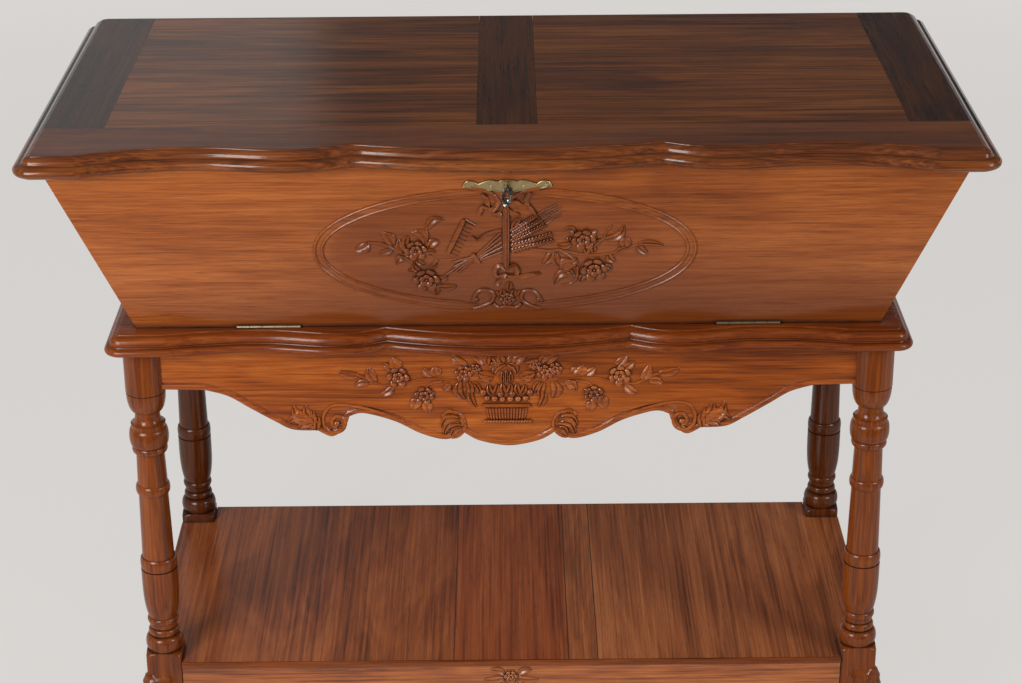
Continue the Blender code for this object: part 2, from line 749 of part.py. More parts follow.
def cabriole(name, side, face):
    """Make the soft form of a cabriole foot by drawing a square section down through its stations."""
    bm = bmesh.new()
    first = FOOT_SECTIONS[0]
    bmesh.ops.create_grid(bm, x_segments=1, y_segments=1, size=first.half)
    bmesh.ops.translate(bm, vec=(0, 0, first.z), verts=bm.verts)
    top = bm.faces[:][0]
    end = top
    centre = Vector((0, 0, 0))
    for section in FOOT_SECTIONS[1:]:
        drawn = bmesh.ops.extrude_face_region(bm, geom=[end])
        if end is not top:
            bmesh.ops.delete(bm, geom=[end], context="FACES_ONLY")
        end = next(item for item in drawn["geom"] if isinstance(item, bmesh.types.BMFace))
        shifted = Vector((side * section.kick, face * section.kick, 0))
        for vert in end.verts:
            corner = vert.co - centre
            x = shifted.x + math.copysign(section.half, corner.x)
            y = shifted.y + math.copysign(section.half, corner.y)
            vert.co = (x, y, section.z)
        centre = shifted
    bmesh.ops.recalc_face_normals(bm, faces=bm.faces)
    obj = mesh_object(name, bm)
    soft = obj.modifiers.new("soft", "SUBSURF")
    soft.levels = 1
    soft.render_levels = 1
    return obj


def legs(cutters):
    """Make four legs: a turned column, a square block and a cabriole foot, mortised for the aprons."""
    profile = leg_profile()
    for face, depth_word in ((-1, "front"), (1, "back")):
        for side, word in ((-1, "left"), (1, "right")):
            name = f"leg_{depth_word}_{word}"
            spot = Vector((side * LEG_X, face * LEG_Y, 0))
            leg = turned(name, profile, TURN_STEPS, "walnut")
            block = box(
                f"{name}_block", (-BLOCK_HALF, -BLOCK_HALF, BLOCK_BOTTOM_Z),
                (BLOCK_HALF, BLOCK_HALF, BLOCK_TOP_Z),
            )
            foot = cabriole(f"{name}_foot", side, face)
            pad = rod(f"{name}_pad", FOOT_PAD_RADIUS, 0.0, FOOT_PAD_HEIGHT, steps=TURN_STEPS)
            for piece in (leg, block, foot):
                piece.location = spot
            pad.location = spot + Vector((side * FOOT_PAD_KICK, face * FOOT_PAD_KICK, 0))
            fuse(leg, block, foot, pad)
            cut(leg, *cutters[(side, face)])


def shelf():
    """Make the shelf boards, with the outer two notched round the leg blocks."""
    low = SHELF_BOTTOM_Z
    high = SHELF_TOP_Z
    edge_x = LEG_X + BLOCK_HALF
    edge_y = LEG_Y + BLOCK_HALF
    notch_x = LEG_X - BLOCK_HALF - GAP
    notch_y = LEG_Y - BLOCK_HALF - GAP
    for word, seam, side in (("left", SHELF_SEAM_LEFT, -1), ("right", SHELF_SEAM_RIGHT, 1)):
        inner = side * seam
        back = [(inner, edge_y), (notch_x, edge_y), (notch_x, notch_y), (edge_x, notch_y)]
        outline = back + [(x, -y) for x, y in reversed(back)]
        plan = [(side * x, y) for x, y in outline]
        flat_outline(f"shelf_board_{word}", plan, low, high, finish="dark_walnut")
    middle_boards = (
        ("centre", SHELF_SEAM_LEFT + GAP, SHELF_SEAM_STRIP - GAP),
        ("strip", SHELF_SEAM_STRIP, SHELF_SEAM_RIGHT - GAP),
    )
    for word, start, end in middle_boards:
        box(f"shelf_board_{word}", (start, -edge_y, low), (end, edge_y, high), "dark_walnut")


def knuckle_span(index):
    """Return the start and end of one hinge knuckle along the pin, from the hinge's middle."""
    length = HINGE_LENGTH / HINGE_KNUCKLES
    start = -HINGE_LENGTH / 2 + index * length
    return start, start + length


def hinge_leaf(name, x, knuckles, low, tip):
    """Make one hinge leaf with its knuckles bored for the pin."""
    start_y = HINGE_AXIS.y
    half = HINGE_LENGTH / 2
    leaf = box(name, (x - half, start_y, low), (x + half, start_y + tip, low + LEAF_THICK), "brass")
    barrel = rod(f"{name}_barrel", KNUCKLE_RADIUS, -half, half, axis="X")
    bore = rod(f"{name}_bore", HINGE_PIN_RADIUS + PIN_PLAY, -HINGE_LENGTH, HINGE_LENGTH, axis="X")
    for tool in (barrel, bore):
        tool.location = (x, HINGE_AXIS.y, HINGE_AXIS.z)
    fuse(leaf, barrel)
    cut(leaf, bore)
    clear = KNUCKLE_RADIUS + GAP
    for index in range(HINGE_KNUCKLES):
        if index in knuckles:
            continue
        start, end = knuckle_span(index)
        first = start - (REACH if index == 0 else GAP)
        last = end + (REACH if index == HINGE_KNUCKLES - 1 else GAP)
        space = box(
            f"{name}_gap_{index}", (x + first, start_y - clear, HINGE_AXIS.z - clear),
            (x + last, start_y + clear, HINGE_AXIS.z + clear),
        )
        cut(leaf, space)
    return leaf


def hinge_screw(name, x, face_z, way):
    """Make a countersunk screw driven up (1) or down (-1) from a leaf's face, and its two cutters."""
    profile = [(0.0, 0.0), (SCREW_HEAD_RADIUS, 0.0), (SCREW_RADIUS, way * LEAF_THICK)]
    profile += [(SCREW_RADIUS, way * SCREW_LENGTH), (0.0, way * SCREW_LENGTH)]
    if way > 0:
        profile.reverse()
    screw = turned(name, profile, SMALL_STEPS, "brass")
    hole_ends = sorted((-way * GAP, way * (SCREW_LENGTH + GAP)))
    hole = rod(f"{name}_hole", SCREW_RADIUS + GAP, *hole_ends)
    sink_ends = sorted((-way * GAP, way * (LEAF_THICK + GAP)))
    sink_radii = (SCREW_HEAD_RADIUS + 2 * GAP, SCREW_RADIUS + GAP)[::way]
    sink = rod(f"{name}_sink", sink_radii[0], *sink_ends, top_radius=sink_radii[1])
    for piece in (screw, hole, sink):
        piece.location = (x, HINGE_AXIS.y + KNUCKLE_RADIUS + SCREW_SETBACK, face_z)
    return screw, hole, sink


def hinges(front, tray_front):
    """Make the two butt hinges with their pins and screws, let into both boards; return what swings."""
    upper_low = TROUGH_BASE_Z
    lower_low = TRAY_TOP_Z - LEAF_THICK
    tip = KNUCKLE_RADIUS + LEAF_WIDTH
    swinging = []
    for side, word in ((-1, "left"), (1, "right")):
        x = side * HINGE_CENTRE_X
        half = HINGE_LENGTH / 2 + GAP
        back_y = HINGE_AXIS.y + tip + GAP
        front_y = HINGE_AXIS.y - KNUCKLE_RADIUS - GAP
        upper_recess = box(
            f"upper_recess_{word}", (x - half, HINGE_AXIS.y, upper_low - REACH),
            (x + half, back_y, upper_low + LEAF_THICK + GAP),
        )
        lower_recess = box(
            f"lower_recess_{word}", (x - half, front_y, lower_low - GAP),
            (x + half, back_y, lower_low + REACH),
        )
        cut(front, upper_recess)
        cut(tray_front, lower_recess)
        leaves = (
            ("upper", (1, 3), upper_low, front, 1, upper_low),
            ("lower", (0, 2, 4), lower_low, tray_front, -1, TRAY_TOP_Z),
        )
        for level, knuckles, low, board, way, face_z in leaves:
            name = f"hinge_{word}_{level}"
            leaf = hinge_leaf(f"{name}_leaf", x, knuckles, low, tip)
            made = [leaf]
            for number, offset in enumerate((-SCREW_SPACING / 2, SCREW_SPACING / 2), 1):
                screw, hole, sink = hinge_screw(f"{name}_screw_{number}", x + offset, face_z, way)
                cut(leaf, hole, sink)
                cut(board, hole)
                made.append(screw)
            if board is front:
                swinging += made
        pin_half = HINGE_LENGTH / 2
        pin = rod(f"hinge_{word}_pin", HINGE_PIN_RADIUS, -pin_half, pin_half, axis="X", finish="iron")
        pin.location = (x, HINGE_AXIS.y, HINGE_AXIS.z)
    return swinging


def keyhole(name, low, high):
    """Return the two cutters of a keyhole: a round hole and the slot under it, between two depths."""
    hole = rod(f"{name}_hole", KEY_SHANK_RADIUS + KEY_PLAY, low, high, axis="Y")
    hole.data.transform(Matrix.Translation((0, 0, KEYHOLE_S)))
    half = KEY_BIT_THICK / 2 + GAP
    slot = box(f"{name}_slot", (-half, low, KEYHOLE_S - KEYHOLE_SLOT), (half, high, KEYHOLE_S))
    return on_front(hole), on_front(slot)


def lock(front, rail):
    """Make the lock case, its bolt, the key and the strike plate, and return the three that swing."""
    half = LOCK_WIDTH / 2
    back = FRONT_DEPTH - LOCK_BACK_SETBACK
    face = back - LOCK_DEPTH
    top = FRONT_LENGTH - LOCK_TOP_SETBACK
    case = on_front(box("lock_case", (-half, face, top - LOCK_HEIGHT), (half, back, top), "iron"))
    recess_low = top - LOCK_HEIGHT - GAP
    recess_high = (half + GAP, back + REACH, top + REACH)
    cut(front, on_front(box("lock_recess", (-half - GAP, face - GAP, recess_low), recess_high)))

    bolt_half = BOLT_WIDTH / 2
    thick = BOLT_THICK / 2
    bolt_top = FRONT_LENGTH - BOLT_TOP_SETBACK
    bolt_low = bolt_top - BOLT_LENGTH
    bolt_face = BOLT_MID_DEPTH - thick
    bolt_back = BOLT_MID_DEPTH + thick
    bolt = box("lock_bolt", (-bolt_half, bolt_face, bolt_low), (bolt_half, bolt_back, bolt_top), "brass")
    window = box(
        "bolt_window", (-BOLT_WINDOW_WIDTH / 2, BOLT_MID_DEPTH - REACH, KEYHOLE_S - BOLT_WINDOW_LOW),
        (BOLT_WINDOW_WIDTH / 2, BOLT_MID_DEPTH + REACH, KEYHOLE_S + BOLT_WINDOW_HIGH),
    )
    cut(on_front(bolt), on_front(window))
    channel = box(
        "bolt_channel", (-bolt_half - GAP, bolt_face - GAP, bolt_low - GAP),
        (bolt_half + GAP, bolt_back + GAP, top + REACH),
    )
    cut(case, on_front(channel))
    cut(case, *keyhole("case_key", face - GAP, BOLT_MID_DEPTH))
    cut(front, *keyhole("front_key", -GAP, face + GAP))

    mouth = in_front_frame(0.0, BOLT_MID_DEPTH, FRONT_LENGTH)
    mortise_half = bolt_half + BOLT_PLAY
    mortise_top = bolt_top + BOLT_TRAVEL + BOLT_PLAY
    mortise = box(
        "bolt_mortise", (-mortise_half, bolt_face - BOLT_PLAY, bolt_top),
        (mortise_half, bolt_back + BOLT_PLAY, mortise_top),
    )
    on_front(mortise)
    strike_low = LID_BOTTOM_Z
    half_width = STRIKE_WIDTH / 2
    half_depth = STRIKE_DEPTH / 2
    strike = box(
        "strike_plate", (-half_width, mouth.y - half_depth, strike_low),
        (half_width, mouth.y + half_depth, strike_low + STRIKE_THICK), "brass",
    )
    strike_recess = box(
        "strike_recess", (-half_width - GAP, mouth.y - half_depth - GAP, strike_low - REACH),
        (half_width + GAP, mouth.y + half_depth + GAP, strike_low + STRIKE_THICK + GAP),
    )
    cut(strike, mortise)
    cut(rail, mortise, strike_recess)
    return [case, bolt, key(bolt_back)]


def key(tip):
    """Make the key, with its origin on its turning axis: a shank and bit in the lock, a ring bow outside."""
    bow_depth = -KEY_PROUD + KEY_BOW_RADIUS + KEY_BOW_WIRE
    shank = rod("key", KEY_SHANK_RADIUS, bow_depth + KEY_BOW_RADIUS, tip, axis="Y", finish="steel")
    bit = box(
        "key_bit", (0, BOLT_MID_DEPTH - BOLT_THICK / 2, -KEY_BIT_THICK / 2),
        (KEY_BIT_LENGTH, BOLT_MID_DEPTH + BOLT_THICK / 2 - GAP, KEY_BIT_THICK / 2),
    )
    bpy.ops.mesh.primitive_torus_add(
        major_radius=KEY_BOW_RADIUS,
        minor_radius=KEY_BOW_WIRE,
        major_segments=TURN_STEPS,
        minor_segments=SMALL_STEPS,
    )
    bow = bpy.context.object
    bow.name = "key_bow"
    for holder in list(bow.users_collection):
        holder.objects.unlink(bow)
    place(bow)
    bow.data.transform(Matrix.Translation((0, bow_depth, 0)) @ Matrix.Rotation(KEY_BOW_TURN, 4, "Y"))
    for piece in (shank, bit, bow):
        piece.location = in_front_frame(0.0, 0.0, KEYHOLE_S)
        piece.rotation_euler = (FRONT_LEAN, 0.0, 0.0)
    return fuse(shank, bit, bow)


def escutcheon(front):
    """Make the scalloped escutcheon on the fall front, with its keyhole and four nails, and return them."""
    top = sized_runs(ESCUTCHEON_TOP, ESCUTCHEON_HALF_WIDTH, ESCUTCHEON_RISE)
    bottom = sized_runs(ESCUTCHEON_BOTTOM, ESCUTCHEON_HALF_WIDTH, ESCUTCHEON_RISE)
    right = top + bottom[1:]
    left = [(-x, s) for x, s in reversed(right[1:-1])]
    outline = [(x, KEYHOLE_S + s) for x, s in right + left]
    low = -GAP - ESCUTCHEON_THICK
    plate = on_front(flat_outline("escutcheon", outline, low, -GAP, upright=True, finish="brass"))
    cut(plate, *keyhole("plate_key", low - GAP, 0.0))
    made = [plate]
    for number, x in enumerate(NAIL_OFFSETS, 1):
        name = f"escutcheon_nail_{number}"
        head = 2 * NAIL_HEAD_RADIUS / 3
        profile = (
            (0.0, head), (NAIL_HEAD_RADIUS * 0.7, head * 0.7), (NAIL_HEAD_RADIUS, 0.0),
            (NAIL_RADIUS, 0.0), (NAIL_RADIUS, -NAIL_LENGTH), (0.0, -NAIL_LENGTH),
        )
        nail = turned(name, profile, SMALL_STEPS, "brass")
        hole = rod(f"{name}_hole", NAIL_RADIUS + GAP, -NAIL_LENGTH - GAP, 0.0)
        for piece in (nail, hole):
            piece.location = in_front_frame(x, low - GAP, KEYHOLE_S)
            piece.rotation_euler = (FRONT_LEAN + math.pi / 2, 0.0, 0.0)
        cut(plate, hole)
        cut(front, hole)
        made.append(nail)
    return made


def main():
    """Build the whole table."""
    start_scene()
    rail = lid()
    front = trough()
    tray_front = tray()
    legs(aprons())
    shelf()
    swinging = [front]
    swinging += hinges(front, tray_front)
    swinging += lock(front, rail)
    swinging += escutcheon(front)
    hang(swinging)


main()
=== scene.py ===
"""Dress the walnut dough bin table: mouldings, turned legs, carved fronts, ironwork, finishes and studio."""

import logging
import math
from dataclasses import dataclass, replace
from enum import Enum
from typing import Callable, Sequence, Union

import bmesh
import bpy
from mathutils import Matrix, Vector


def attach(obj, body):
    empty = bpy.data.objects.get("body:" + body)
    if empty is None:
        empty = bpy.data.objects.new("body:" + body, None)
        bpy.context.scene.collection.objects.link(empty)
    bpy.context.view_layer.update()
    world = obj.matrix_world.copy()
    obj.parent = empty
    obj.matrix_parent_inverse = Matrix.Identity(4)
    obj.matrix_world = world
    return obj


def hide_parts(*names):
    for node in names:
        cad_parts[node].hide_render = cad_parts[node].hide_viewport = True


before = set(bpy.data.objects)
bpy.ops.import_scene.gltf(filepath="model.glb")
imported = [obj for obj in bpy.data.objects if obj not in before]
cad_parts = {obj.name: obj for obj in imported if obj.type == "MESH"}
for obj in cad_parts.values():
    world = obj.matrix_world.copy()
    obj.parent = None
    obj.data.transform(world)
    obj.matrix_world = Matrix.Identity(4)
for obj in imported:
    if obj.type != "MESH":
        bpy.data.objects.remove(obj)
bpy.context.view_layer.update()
LOG = logging.getLogger("dough_bin_table")

# Lengths are in metres. SINK lets carving into its board, WELD joins points, FLUSH tells a level face,
# and FINE is how closely a surface is searched for.
MM = 0.001
SINK = 0.0006
WELD = 1e-6
FLUSH = 1e-5
FINE = 1e-9
TURN = 2 * math.pi
QUARTER = math.pi / 2
SHARP = math.radians(38)
CURVE_STEPS = 6
RIM_SHARE = 0.001
SIDES = ((-1, "left"), (1, "right"))

Pair = tuple[float, float]
Colour = tuple[float, float, float]
Number = Union["Value", float]
Paint = Union["Value", tuple]


class Body(Enum):
    """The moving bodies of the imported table."""

    TABLE = "table"
    FALL_FRONT = "fall_front"
    KEY = "key"


class Slot(Enum):
    """The record's material slots."""

    WALNUT = "walnut"
    DARK_WALNUT = "dark_walnut"
    POPLAR = "poplar"
    BRASS = "brass"
    IRON = "iron"
    STEEL = "steel"


class Grain(Enum):
    """The way that a board's fibres run."""

    ALONG_X = 0
    ALONG_Y = 1
    ALONG_Z = 2

    def stretch(self, share: float) -> Colour:
        """Return a pattern's scale, drawn out along the fibres to this share."""
        scale = [1.0, 1.0, 1.0]
        scale[self.value] = share
        return tuple(scale)


def srgb(red: int, green: int, blue: int) -> tuple[float, float, float, float]:
    """Return a screen colour of 0 to 255 as linear light with full cover."""
    parts = [part / 255 for part in (red, green, blue)]
    linear = [((part + 0.055) / 1.055) ** 2.4 if part > 0.04045 else part / 12.92 for part in parts]
    return (*linear, 1.0)


class Value:
    """A node's socket that joins in Python arithmetic by adding Math nodes."""

    def __init__(self, graph: "Graph", socket: bpy.types.NodeSocket) -> None:
        """Keep the socket and its graph."""
        self.graph = graph
        self.socket = socket

    def math(self, operation: str, first: Number, second: Number = 0.0) -> "Value":
        """Add one Math node and return its result."""
        return self.graph.add("ShaderNodeMath", {"operation": operation}, {0: first, 1: second})

    def __add__(self, other: Number) -> "Value":
        """Return self + other."""
        return self.math("ADD", self, other)

    def __sub__(self, other: Number) -> "Value":
        """Return self - other."""
        return self.math("SUBTRACT", self, other)

    def __rsub__(self, other: Number) -> "Value":
        """Return other - self."""
        return self.math("SUBTRACT", other, self)

    def __mul__(self, other: Number) -> "Value":
        """Return self * other."""
        return self.math("MULTIPLY", self, other)

    __radd__ = __add__
    __rmul__ = __mul__

    def sine(self) -> "Value":
        """Return the sine of self."""
        return self.math("SINE", self)

    def highest(self, other: Number) -> "Value":
        """Return the greater of self and other."""
        return self.math("MAXIMUM", self, other)

    def ease(self, low: float, high: float) -> "Value":
        """Return a smooth step that climbs from 0 at low to 1 at high."""
        return self.graph.add(
            "ShaderNodeMapRange", {"interpolation_type": "SMOOTHSTEP"},
            {"Value": self, "From Min": low, "From Max": high},
        )


class Graph:
    """The node tree of a material or a world, built through one method."""

    def __init__(self, owner: bpy.types.Material | bpy.types.World) -> None:
        """Empty the owner's tree."""
        owner.use_nodes = True
        self.owner = owner
        self.tree = owner.node_tree
        self.tree.nodes.clear()

    def add(
        self, kind: str, settings: dict | None = None, sockets: dict | None = None, output: str | None = None
    ) -> Value:
        """Add a node.

        Args:
            kind: The node's type.
            settings: Properties set before any socket; "stops" fills a colour ramp.
            sockets: Values or links by the input's name or number.
            output: The output's name, or None for the first.

        Returns:
            The chosen output.
        """
        node = self.tree.nodes.new(kind)
        for name, setting in (settings or {}).items():
            if name == "stops":
                elements = node.color_ramp.elements
                while len(elements) < len(setting):
                    elements.new(1.0)
                for element, (place, colour) in zip(elements, setting):
                    element.position = place
                    element.color = colour
            else:
                setattr(node, name, setting)
        for name, given in (sockets or {}).items():
            if isinstance(name, int):
                socket = node.inputs[name]
            else:
                socket = next(item for item in node.inputs if item.enabled and item.name == name)
            if isinstance(given, Value):
                self.tree.links.new(given.socket, socket)
            else:
                socket.default_value = given
        offered = [item for item in node.outputs if item.enabled]
        return Value(self, next(item for item in offered if output in (None, item.name)))

    def noise(
        self, place: Value, scale: float, detail: float, roughness: float = 0.5, distortion: float = 0.0
    ) -> Value:
        """Add fractal noise over a place."""
        sockets = {"Scale": scale, "Detail": detail, "Roughness": roughness, "Distortion": distortion}
        return self.add("ShaderNodeTexNoise", {}, {"Vector": place, **sockets})

    def tint(self, share: Number, base: Paint, over: Paint) -> Value:
        """Add a colour mix of base and over."""
        return self.add("ShaderNodeMix", {"data_type": "RGBA"}, {"Factor": share, "A": base, "B": over})

    def split(self, place: Value, axes: str) -> list[Value]:
        """Return the named axes of a place."""
        return [self.add("ShaderNodeSeparateXYZ", {}, {0: place}, axis) for axis in axes]

    def surface(self, sockets: dict) -> bpy.types.Material:
        """Add the Principled shader and its output, and return the finished material."""
        shader = self.add("ShaderNodeBsdfPrincipled", {}, sockets)
        self.add_output(shader)
        return self.owner

    def add_output(self, shader: Value, kind: str = "ShaderNodeOutputMaterial") -> None:
        """Link a shader to a new output."""
        node = self.tree.nodes.new(kind)
        self.tree.links.new(shader.socket, node.inputs["Surface"])


@dataclass(frozen=True)
class StainAndShade:
    """An oval of darker colour on an upright face, even or stronger to the left: a real stain in the polish,
    and also used for painted shade.
    """

    middle: Pair
    half: Pair
    soft: float
    share: float
    lean: float = 0.0

    def mask(self, x: Value, z: Value) -> Value:
        """Return how dark the stain is at a place across and up the face."""
        along = (x - self.middle[0]) * (1 / self.half[0])
        up = (z - self.middle[1]) * (1 / self.half[1])
        inside = 1.0 - (along * along + up * up).ease(self.soft, 1.0)
        return inside * (along * -self.lean + (1.0 - self.lean)) * self.share


@dataclass(frozen=True)
class Layer:
    """One scale of fractal noise, drawn out by a share along the fibres."""

    scale: float
    detail: float
    roughness: float = 0.5
    stretch: float = 1.0
    distortion: float = 0.0
    tilt: Colour = (0.0, 0.0, 0.0)

    def over(self, place: Value, grain: Grain, shift: Colour = (0.0, 0.0, 0.0), run: float = 1.0) -> Value:
        """Return the noise over a place.

        Args:
            place: The place on the piece.
            grain: The axis of the fibres.
            shift: Which part of the log the piece comes from.
            run: How many times longer than drawn the marks are.

        Returns:
            The noise, about 0 to 1.
        """
        scale = grain.stretch(self.stretch / run)
        drawn = place.graph.add(
            "ShaderNodeMapping", {},
            {"Vector": place, "Location": shift, "Rotation": self.tilt, "Scale": scale},
        )
        return place.graph.noise(drawn, self.scale, self.detail, self.roughness, self.distortion)


FIGURE = Layer(8.0, 4.0, 0.52, 0.13, 0.7, (0.02, 0.03, 0.025))
STREAK = Layer(42.0, 3.0, 0.6, 0.065)
THREAD = Layer(190.0, 3.0, 0.65, 0.036)
FIBRE = Layer(430.0, 2.0, 0.6, 0.034)
PORES = Layer(760.0, 1.0, 0.5, 0.045)
CLOUD = Layer(2.4, 2.0)
SMEAR = Layer(34.0, 3.0, 0.6)
TARNISH = Layer(95.0, 4.0, 0.6)
SCRATCH = Layer(900.0, 2.0, 0.5, 0.06, 0.0, (0.2, 0.1, 0.4))
RING_COUNT = 58.0
LOG_STEP = (1.37, 0.61, 0.83)
# Hollows found by occlusion within this reach are darkened, partly real dark wax and partly painted shade;
# the fade ends it below a set height.
WAX_AND_SHADE_REACH = 0.0085
WAX_AND_SHADE_FADE = 0.012
WOOD_BUMP = {"Strength": 0.30, "Distance": 0.00035}
METAL_BUMP = {"Strength": 0.25, "Distance": 0.0003}
COAT_ROUGHNESS = 0.12


@dataclass(frozen=True)
class WoodFinish:
    """Polished or bare wood: broad figure, rings, fibres, open pores, and dark wax left in the hollows, found
    by occlusion, which is partly painted shade.
    """

    name: str
    slot: Slot
    deep: tuple
    middle: tuple
    light: tuple
    # wax colours the pores and the darkened hollows; in the hollows it is partly painted shade.
    wax: tuple
    contrast: float = 1.0
    gloss: float = 0.27
    shine: float = 0.5
    # How dark the hollows go, and the height above which they stop darkening: dark wax and painted shade.
    wax_and_shade_share: float = 0.78
    polish: float = 0.35
    wax_and_shade_top: float = 2.0
    run: float = 1.3
    stains_and_shade: tuple = ()

    def material(self, grain: Grain, seed: float = 0.0) -> bpy.types.Material:
        """Return the wood with its fibres along an axis.

        Args:
            grain: The axis of the fibres.
            seed: Which part of the log the board comes from.

        Returns:
            The material, made once for each grain and seed.
        """
        name = f"{self.name}_{grain.name.lower()}_{seed:g}"
        if name in bpy.data.materials:
            return bpy.data.materials[name]
        graph = Graph(bpy.data.materials.new(name))
        place = graph.add("ShaderNodeTexCoord", output="Object")
        shift = tuple(seed * step for step in LOG_STEP)
        figure, pores, cloud = (layer.over(place, grain, shift) for layer in (FIGURE, PORES, CLOUD))
        long_marks = (STREAK, THREAD, FIBRE)
        streak, thread, fibre = (layer.over(place, grain, shift, self.run) for layer in long_marks)
        pores = pores.ease(0.58, 0.70)
        rings = (figure * RING_COUNT).sine() * 0.5 + 0.5
        broad = (figure - 0.5) * 0.70 + (streak - 0.5) * 0.52 + (rings - 0.5) * 0.12 + (cloud - 0.5) * 0.34
        tone = (broad + (thread - 0.5) * 0.95 + (fibre - 0.5) * 0.80) * self.contrast + 0.5
        stops = ((0.12, self.deep), (0.48, self.middle), (0.86, self.light))
        colour = graph.add("ShaderNodeValToRGB", {"stops": stops}, {"Fac": tone}, "Color")
        lines = streak.ease(0.60, 0.72) * (0.26 * self.contrast) + thread.ease(0.58, 0.70) * 0.34
        colour = graph.tint(lines, colour, self.deep)
        colour = graph.tint(pores * 0.30, colour, self.wax)
        x, z = graph.split(place, "XZ")
        # Darken the ovals: a real stain, painted shade at the foot of the front, and a broad darkening in the
        # middle.
        for darkening in self.stains_and_shade:
            colour = graph.tint(darkening.mask(x, z), colour, self.deep)
        # Painted shade and dark wax: darken the hollows found by occlusion, below a set height, with the wax
        # colour.
        open_air = graph.add("ShaderNodeAmbientOcclusion", {"samples": 8}, {"Distance": WAX_AND_SHADE_REACH}, "AO")
        below = 1.0 - z.ease(self.wax_and_shade_top - WAX_AND_SHADE_FADE, self.wax_and_shade_top)
        hollow = (1.0 - open_air).ease(0.12, 0.50) * below
        smear = SMEAR.over(place, grain).ease(0.25, 0.75)
        colour = graph.tint(hollow * (smear * 0.3 + 0.7) * self.wax_and_shade_share, colour, self.wax)
        rough = (cloud - 0.5) * 0.14 + (fibre - 0.5) * 0.10 + pores * 0.10 + hollow * 0.20 + self.gloss
        height = (fibre - 0.5) * 0.45 - pores * 0.6 + (streak - 0.5) * 0.5
        normal = graph.add("ShaderNodeBump", {}, {**WOOD_BUMP, "Height": height})
        return graph.surface({
            "Base Color": colour, "Roughness": rough, "Normal": normal, "Specular IOR Level": self.shine,
            "Coat Weight": self.polish, "Coat Roughness": COAT_ROUGHNESS,
        })


@dataclass(frozen=True)
class MetalFinish:
    """Old hand-worked metal: a clean tone rubbed bright, darker tarnish, fine scratches, and recesses
    darkened by occlusion, partly dirt and partly painted shade.
    """

    name: str
    slot: Slot
    clean: tuple
    tarnish: tuple
    rough: float
    tarnish_share: float
    dirt_and_shade_reach: float = 0.003

    def material(self) -> bpy.types.Material:
        """Return the metal, made once."""
        if self.name in bpy.data.materials:
            return bpy.data.materials[self.name]
        graph = Graph(bpy.data.materials.new(self.name))
        place = graph.add("ShaderNodeTexCoord", output="Object")
        cloud, scratch = (layer.over(place, Grain.ALONG_X) for layer in (TARNISH, SCRATCH))
        # Recesses within this reach darken: partly dirt, partly painted shade.
        reach = {"Distance": self.dirt_and_shade_reach}
        open_air = graph.add("ShaderNodeAmbientOcclusion", {"samples": 6}, reach, "AO")
        tarnish_and_shade = (cloud.ease(0.38, 0.72) * self.tarnish_share).highest((1.0 - open_air).ease(0.25, 0.8))
        colour = graph.tint(tarnish_and_shade, graph.tint(scratch * 0.25, self.clean, self.tarnish), self.tarnish)
        rough = tarnish_and_shade * 0.22 + (scratch - 0.5) * 0.12 + self.rough
        height = (cloud - 0.5) * 0.8 + (scratch - 0.5) * 0.25
        normal = graph.add("ShaderNodeBump", {}, {**METAL_BUMP, "Height": height})
        return graph.surface({"Base Color": colour, "Roughness": rough, "Normal": normal, "Metallic": 1.0})


def through(points: Sequence[Sequence[float]], steps: int = CURVE_STEPS) -> list[Vector]:
    """Return a smooth line through points.

    Args:
        points: The points, of two or three numbers.
        steps: The pieces between each pair.

    Returns:
        The line's points, both ends among them.
    """
    ends = [points[0], *points, points[-1]]
    line = []
    for p0, p1, p2, p3 in zip(*(map(Vector, ends[start:]) for start in range(4))):
        for step in range(steps):
            t = step / steps
            square = (2 * p0 - 5 * p1 + 4 * p2 - p3) * t ** 2
            cube = (3 * p1 - p0 - 3 * p2 + p3) * t ** 3
            line.append(p1 + ((p2 - p0) * t + square + cube) / 2)
    line.append(Vector(points[-1]))
    return line


def shares(steps: int) -> list[float]:
    """Return even shares from 0 to 1, both among them."""
    return [step / steps for step in range(steps + 1)]


def on_rim(u: float, v: float) -> bool:
    """Tell whether a place on a sheet of shares lies on its rim."""
    return min(u, v) <= RIM_SHARE or max(u, v) >= 1 - RIM_SHARE


def eased(t: float) -> float:
    """Return a share eased at both ends."""
    return t * t * (3 - 2 * t)


def runs_through(runs: Sequence[Sequence[Pair]], steps: int = CURVE_STEPS) -> list[Vector]:
    """Join smooth runs that meet at cusps into one line."""
    line = []
    for run in runs:
        line.extend(through(run, steps)[:-1])
    line.append(Vector(runs[-1][-1]))
    return line


